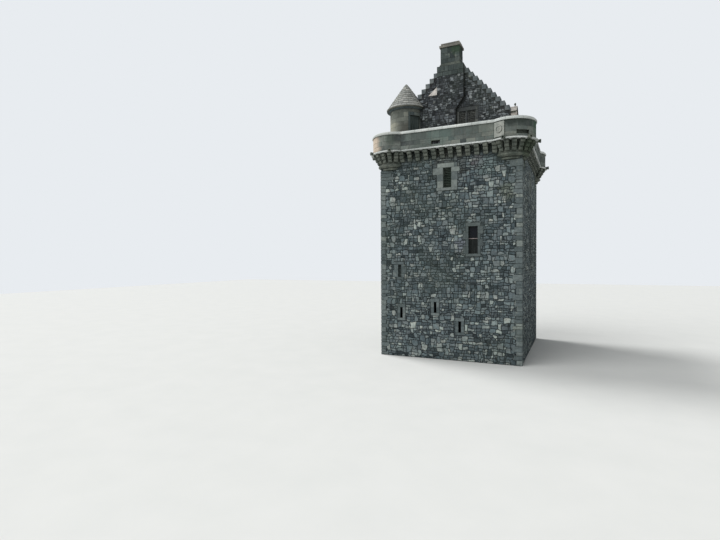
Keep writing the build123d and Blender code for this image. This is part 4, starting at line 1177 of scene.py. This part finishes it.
# %% Turret cone
def lap(sheet, rise):
    """Lifts the lower edge of each slab, so that it laps the slab below."""
    seen = set()
    for start in list(sheet.faces):
        if start in seen:
            continue
        group = [start]
        seen.add(start)
        for face in group:
            for edge in face.edges:
                for other in edge.link_faces:
                    if other not in seen:
                        seen.add(other)
                        group.append(other)
        verts = {vert for face in group for vert in face.verts}
        low = min(vert.co.y for vert in verts)
        high = max(vert.co.y for vert in verts)
        for vert in verts:
            if vert.co.z > 0.001:
                vert.co.z += rise * (high - vert.co.y) / (high - low)


def merge(whole, part):
    """Adds one bmesh to another."""
    mesh = settle(part, "part")
    whole.from_mesh(mesh)
    bpy.data.meshes.remove(mesh)


EAVES_RADIUS, EAVES_LEVEL = 1.20, 14.985
TIP_RADIUS, APEX = 0.05, 16.62
CONE_LEFT_BARE = 0.04
cone_run = EAVES_RADIUS - TIP_RADIUS
cone_rise = APEX - EAVES_LEVEL
cone_length = hypot(cone_run, cone_rise)
out = Vector((cone_rise, cone_run)).normalized()
cone = bmesh.new()
for foot, top in uneven_courses(cone_length - CONE_LEFT_BARE, 0.17, 0.21, 0.09, draw):
    middle_radius = EAVES_RADIUS - cone_run * (foot + top) / 2 / cone_length
    around = 2 * pi * middle_radius
    count = max(7, round(around / draw.uniform(0.26, 0.32)))
    band = bmesh.new()
    bmesh.ops.create_grid(band, x_segments=count * 2, y_segments=1, size=0.5)
    tone = band.faces.layers.float.new("tone")
    drift = draw.random()
    for vert in band.verts:
        column = round((vert.co.x + 0.5) * count * 2)
        jog = draw.uniform(-0.02, 0.02) if 0 < column < 2 * count else 0.0
        vert.co.x = around * ((column + drift) / (2 * count)) + jog
        vert.co.y = foot if vert.co.y < 0 else top
    ordered = sorted(band.faces, key=lambda face: face.calc_center_median().x)
    for first, second in zip(ordered[0::2], ordered[1::2]):
        shared = [edge for edge in first.edges if second in edge.link_faces]
        first[tone] = second[tone] = draw.random()
        bmesh.ops.dissolve_edges(band, edges=shared)
    raise_stones(band, 0.012, 0.006, 0.010, 0.002, draw, least=0.0001)
    lap(band, 0.018)
    slice_sheet(band, 0.12)
    for vert in band.verts:
        turn = vert.co.x / middle_radius
        share = vert.co.y / cone_length
        radius = EAVES_RADIUS - cone_run * share + vert.co.z * out.x
        level = EAVES_LEVEL + cone_rise * share + vert.co.z * out.y
        vert.co = (TURRET[0] + radius * sin(turn), TURRET[1] - radius * cos(turn), level)
    merge(cone, band)
finish_piece(cone, "cone_slabs", slab_roof)

# %% [markdown]
# ## Roof slabs
# The cap-house roof has the same stone slabs in level courses. A flat sheet is laid in slope
# lengths, cut round the dormer and the turret, lapped, and then tipped on to each slope.

# %% Roof slopes
ROOF_PEAK, ROOF_SLOPE = 17.604, 1.0873
EAVES_X, RIDGE_X, ROOF_HALF = 3.42, 0.17, 3.355
SLABS = (0.010, 0.006, 0.010, 0.002)
TURRET_GAP = 1.10
slope_scale = sqrt(1 + ROOF_SLOPE**2)


def up_slope(x):
    """How far up the slope a place lies, from the eaves."""
    return (EAVES_X - x) * slope_scale


def tip_slabs(slabs, rise, half, slope, peak, sign, place):
    """Laps the slabs and tips them on to one slope of a roof."""
    lap(slabs, rise)
    scale = sqrt(1 + slope**2)
    out = Vector((slope, 1)).normalized()
    for vert in slabs.verts:
        along, up, off = vert.co
        away = half - up / scale
        vert.co = place(along, sign * (away + off * out.x), peak - slope * away + off * out.y)
    if sign > 0:
        bmesh.ops.reverse_faces(slabs, faces=list(slabs.faces))


DORMER_GAP = [
    (-1.00, -0.1), (0.10, -0.1), (0.10, up_slope(2.50)),
    (-0.45, up_slope(1.98)), (-1.00, up_slope(2.50)),
]
draw = random.Random(51)
for side, sign in (("left", -1), ("right", 1)):
    top = up_slope(RIDGE_X)
    slabs = lay_sheet(-ROOF_HALF, ROOF_HALF, 0.0, top, 0.26, 0.115, (3, 3, 4, 5), 0.0, 0.006, draw)
    if side == "right":
        trim(slabs, DORMER_GAP)
    else:
        near = [
            (TURRET[1] + TURRET_GAP * cos(turn), up_slope(-TURRET[0] + TURRET_GAP * sin(turn)))
            for turn in turns(0, 360, 20)
        ]
        trim(slabs, near)
    raise_stones(slabs, *SLABS, draw)
    tip_slabs(
        slabs, 0.018, EAVES_X, ROOF_SLOPE, ROOF_PEAK, sign, lambda along, x, z: (x, along, z)
    )
    finish_piece(slabs, side + "_roof_slabs", slab_roof)

# %% [markdown]
# ## Wall-walk
# The walk behind the parapet is flagged. One sheet covers the whole plan and is cut to the
# inner line of the parapet and its rounds, then round the cap-house, the breast and the turret.

# %% Flags
ROUND_INSIDE = 0.93
inner_line = []
for x_sign, y_sign in ((1, -1), (1, 1), (-1, 1), (-1, -1)):
    corner = []
    for turn in turns(-46, 137, 26):
        x, y = ROUND_INSIDE * sin(turn), ROUND_INSIDE * cos(turn)
        corner.append((x_sign * (ROUND_CENTRE[0] + x), y_sign * (ROUND_CENTRE[1] + y)))
    inner_line += corner[::-1] if x_sign * y_sign > 0 else corner
draw = random.Random(61)
flags = lay_sheet(-4.45, 4.45, -5.30, 5.30, 0.42, 0.16, (2, 3, 4, 4), 0.0, 0.006, draw)
trim(flags, inner_line, keep_inside=True)
trim_box(flags, -CAP_HALF, CAP_HALF, -GABLE_PLANE, GABLE_PLANE)
trim_box(flags, -1.33, 0.33, -4.18, -3.8)
trim(flags, [(TURRET[0] + sin(turn), TURRET[1] - cos(turn)) for turn in turns(0, 360, 15)])
raise_stones(flags, 0.012, 0.005, 0.006, 0.001, draw)
bmesh.ops.translate(flags, vec=(0, 0, WALK_LEVEL), verts=flags.verts)
finish_piece(flags, "walk_flags", ashlar_blocks)

# %% [markdown]
# ## Dressed stone round the openings
# The gable window and the doorways have dressed stones of their own: jambs, a lintel and a sill
# beside the louvres, upright stones either side of the turret door, and a ring of wedge-shaped
# stones over the entrance at the back. The broach, where the breast narrows, has a slab whose
# pale colour is painted sunlight on its slope.

# %% Gable window and entrance
DRESSING_PROUD = 0.022
draw = random.Random(71)
dressings = bmesh.new()
left, right, foot, top = GABLE_WINDOW
outer_left, outer_right = left - WINDOW_LEFT, right + WINDOW_RIGHT
split = draw.uniform(13.7, 13.9)
for stone in (
    (outer_left, outer_right, foot - WINDOW_SILL, foot),
    (outer_left, outer_right, top, top + 0.22),
    (outer_left, left, foot, split),
    (outer_left, left, split, top),
    (right, outer_right, foot, split + 0.1),
    (right, outer_right, split + 0.1, top),
):
    tone = draw.random()
    add_wall_stone(dressings, "front", GABLE_PLANE, stone, DRESSING_PROUD, 0.08, 0.008, tone)
finish_piece(dressings, "gable_window_dressings", gable_dressing)

WEDGES = 9
BACK, FACE = HALF_DEPTH - 0.06, HALF_DEPTH + DRESSING_PROUD
arch_stones = bmesh.new()
for number in range(WEDGES):
    first = pi * number / WEDGES + 0.006
    last = pi * (number + 1) / WEDGES - 0.006
    wedge = bmesh.new()
    add_block(wedge, (ARCH_INNER, BACK, -0.5), (ARCH_OUTER, FACE, 0.5), 0.0, draw.random())
    for vert in wedge.verts:
        turn = first if vert.co.z < 0 else last
        radius = vert.co.x
        vert.co.x = DOOR_CENTRE + radius * cos(turn)
        vert.co.z = DOOR_SPRING + radius * sin(turn)
    cut_back(wedge, list(wedge.edges), 0.008)
    bmesh.ops.recalc_face_normals(wedge, faces=list(wedge.faces))
    merge(arch_stones, wedge)
for sign in (-1, 1):
    left, right = sorted((DOOR_CENTRE + sign * ARCH_INNER, DOOR_CENTRE + sign * ARCH_OUTER))
    for foot, top in uneven_courses(DOOR_SPRING, 0.26, 0.42, 0.15, draw):
        low, high = (left + 0.002, BACK, foot + 0.004), (right - 0.002, FACE, top - 0.004)
        add_block(arch_stones, low, high, 0.008, draw.random())
finish_piece(arch_stones, "entrance_dressings", quoin_stone)

# %% Turret doorway, broach and blocked slit
left, right = round_turret(DOORWAY - 27.3), round_turret(DOORWAY + 27.3)
jambs = lay_sheet(left, right, 12.41, 14.65, 0.36, 0.118, (2, 3), 0.0, 0.0, draw)
opening, middle = round_turret(LEAF_TURN), round_turret(DOORWAY)
trim_box(jambs, middle - opening, middle + opening, DOOR_FOOT, DOOR_TOP)
tone = jambs.faces.layers.float["tone"]
for face in jambs.faces:
    face[tone] = 1.0 if face.calc_center_median().x > middle else 0.0
raise_stones(jambs, 0.007, 0.004, 0.014, 0.001, draw)
bend(jambs, TURRET_RADIUS, TURRET, TURRET_SLICE)
finish_piece(jambs, "turret_door_jambs", quoin_stone)

corners = [
    Vector(place)
    for place in ((-1.315, -4.172, 15.502), (-0.785, -4.172, 15.502), (-0.785, -3.965, 16.09))
]
out = (corners[1] - corners[0]).cross(corners[2] - corners[0]).normalized()
if out.y > 0:
    out.negate()
broach = bmesh.new()
lower = [broach.verts.new(corner - 0.01 * out) for corner in corners]
upper = [broach.verts.new(corner + 0.03 * out) for corner in corners]
broach.faces.new(lower)
broach.faces.new(upper)
for index in range(3):
    after = (index + 1) % 3
    broach.faces.new((lower[index], lower[after], upper[after], upper[index]))
cut_back(broach, list(broach.edges), 0.007)
bmesh.ops.recalc_face_normals(broach, faces=list(broach.faces))
finish_piece(broach, "broach_slab", broach_stone)

BLOCKED_PLANE = 4.845
left, right = BLOCKED_X - BLOCKED_HALF + 0.002, BLOCKED_X + BLOCKED_HALF - 0.002
foot, top = BLOCKED_SILL + 0.002, BLOCKED_SILL + BLOCKED_HEIGHT - 0.002
blocked = lay_sheet(left, right, foot, top, 0.125, 0.075, (1, 2, 3), 0.0, 0.010, draw)
raise_stones(blocked, 0.022, 0.010, 0.012, 0.004, draw, least=0.001, nick=0.012)
stand_piece(blocked, "blocked_slit_stones", "front", BLOCKED_PLANE, mortar)

# %% [markdown]
# ## Chimney shafts
# Both shafts are of squared blocks, greener than the walls. Each face is a small sheet. On the
# front, the blocks start lower down, on the breast.

# %% Shaft blocks
CHIMNEY_HALF, SHAFT_FOOT, SHAFT_TOP = 0.55, 17.285, 18.195
draw = random.Random(81)
below = square_blocks(-0.775, 0.775, BLOCKS_FOOT, 17.145, draw, 0.24, 0.11)
raise_stones(below, 0.016, 0.010, 0.014, 0.004, draw)
stand_piece(below, "breast_blocks", "front", BREAST_PLANE, chimney_stone)
for name, near, far in (("front", -BREAST_PLANE, -FLANK_HALF), ("rear", FLANK_HALF, GABLE_PLANE)):
    for side, left, right, distance in (
        ("front", -CHIMNEY_HALF, CHIMNEY_HALF, -near),
        ("rear", -CHIMNEY_HALF, CHIMNEY_HALF, far),
        ("right", near, far, CHIMNEY_HALF),
        ("left", -far, -near, CHIMNEY_HALF),
    ):
        shaft = square_blocks(left, right, SHAFT_FOOT, SHAFT_TOP, draw, 0.27, 0.13)
        raise_stones(shaft, 0.010, 0.006, 0.010, 0.003, draw)
        title = f"{name}_chimney_{side}_blocks"
        stand_piece(shaft, title, side, distance, chimney_stone)

# %% [markdown]
# ## Dormer roof
# The little roof has the same slabs as the big one, in three courses a side.

# %% Dormer slabs
DORMER_MIDDLE, DORMER_HALF = -0.45, 0.51
DORMER_PEAK, DORMER_PITCH = 15.39, 0.38 / 0.45
dormer_scale = sqrt(1 + DORMER_PITCH**2)
run = DORMER_HALF * dormer_scale
below, above = -0.01, run + 0.01
meets = [
    (ROOF_PEAK - DORMER_PEAK + DORMER_PITCH * (DORMER_HALF - up / dormer_scale)) / ROOF_SLOPE + 0.02
    for up in (below, above)
]
MAIN_ROOF = [(1.9, below), (meets[0], below), (meets[1], above), (1.9, above)]
for name, sign in (("dormer_near_slabs", -1), ("dormer_far_slabs", 1)):
    slabs = lay_sheet(2.0, 3.355, 0.0, run, 0.22, 0.11, (2, 3, 3), 0.0, 0.004, draw)
    trim(slabs, MAIN_ROOF)
    raise_stones(slabs, *SLABS, draw, least=0.002)
    tip_slabs(
        slabs, 0.012, DORMER_HALF, DORMER_PITCH, DORMER_PEAK, sign,
        lambda along, y, z: (along, DORMER_MIDDLE + y, z),
    )
    finish_piece(slabs, name, broach_stone)

# %% [markdown]
# ## Doors and window rails
# The doors are of upright boards with a narrow gap. The entrance has iron straps with round
# studs and a ring to pull it by. Each hall window has a pale rail between glass and shutter.

# %% Boards
BOARDS, BOARD = 8, 0.125
LEAF_BOARDS, LEAF_BOARD, LEAF_RADIUS = 5, 0.134, 0.816
DOOR_FACE = 4.565
draw = random.Random(91)
boards = bmesh.new()
for number in range(BOARDS):
    x = DOOR_CENTRE - 0.5 + number * BOARD
    reach = max(abs(x - DOOR_CENTRE), abs(x + BOARD - DOOR_CENTRE))
    top = DOOR_SPRING + sqrt(max(0.0, 0.49**2 - min(reach, 0.485) ** 2))
    low, high = (x + 0.004, DOOR_FACE - 0.01, 0.02), (x + BOARD - 0.004, DOOR_FACE + 0.014, top)
    add_block(boards, low, high, 0.004, draw.random())
finish_piece(boards, "entrance_boards", door_wood)

leaf = bmesh.new()
for number in range(LEAF_BOARDS):
    x = TURRET[0] + (-0.335 + number * LEAF_BOARD)
    low = (x + 0.003, TURRET[1] - LEAF_RADIUS - 0.012, DOOR_FOOT + 0.02)
    high = (x + 0.131, TURRET[1] - LEAF_RADIUS + 0.01, DOOR_TOP - 0.02)
    add_block(leaf, low, high, 0.004, draw.random())
about = Matrix.Rotation(radians(DOORWAY), 3, "Z")
bmesh.ops.rotate(leaf, cent=(*TURRET, 0), matrix=about, verts=leaf.verts)
finish_piece(leaf, "turret_door_boards", door_wood)

# %% Straps, studs, ring and rails
STRAP_LEVELS, STRAP_HEIGHT = (0.42, 1.32), 0.055
STUDS, STUD_RADIUS = 6, 0.014
RING_RADIUS, RING_WIRE = 0.055, 0.008
ironwork = bmesh.new()
for level in STRAP_LEVELS:
    low = (DOOR_CENTRE - 0.47, DOOR_FACE + 0.012, level)
    high = (DOOR_CENTRE + 0.38, DOOR_FACE + 0.022, level + STRAP_HEIGHT)
    add_block(ironwork, low, high, 0.003, 0.5)
    for number in range(STUDS):
        x = DOOR_CENTRE - 0.42 + number * 0.15
        place = Matrix.Translation((x, DOOR_FACE + 0.024, level + STRAP_HEIGHT / 2))
        bmesh.ops.create_uvsphere(
            ironwork, u_segments=12, v_segments=8, radius=STUD_RADIUS, matrix=place
        )
handle = Vector((DOOR_CENTRE + 0.34, DOOR_FACE + 0.026, 0.98))
profile = []
for turn in turns(0, 360, 45):
    x, y = RING_RADIUS + RING_WIRE * cos(turn), RING_WIRE * sin(turn)
    profile.append(ironwork.verts.new(handle + Vector((x, y, 0))))
wire = [ironwork.edges.new(ends) for ends in zip(profile, profile[1:] + profile[:1])]
whole = {"angle": 2 * pi, "steps": 32, "use_merge": True}
bmesh.ops.spin(ironwork, geom=profile + wire, cent=handle, axis=(0, 1, 0), **whole)
bmesh.ops.recalc_face_normals(ironwork, faces=list(ironwork.faces))
finish_piece(ironwork, "entrance_ironwork", iron)

RAIL_HALF, RAIL_FOOT, RAIL_TOP = 0.258, 6.930, 6.972
rails = bmesh.new()
for side, (x, _) in WINDOWS.items():
    distance = FACES[side][1]
    low = (x - RAIL_HALF, -distance + 0.095, RAIL_FOOT)
    high = (x + RAIL_HALF, -distance + 0.125, RAIL_TOP)
    add_block(rails, low, high, 0.005, 0.5, TURNS[side])
finish_piece(rails, "hall_window_rails", pale_wood)
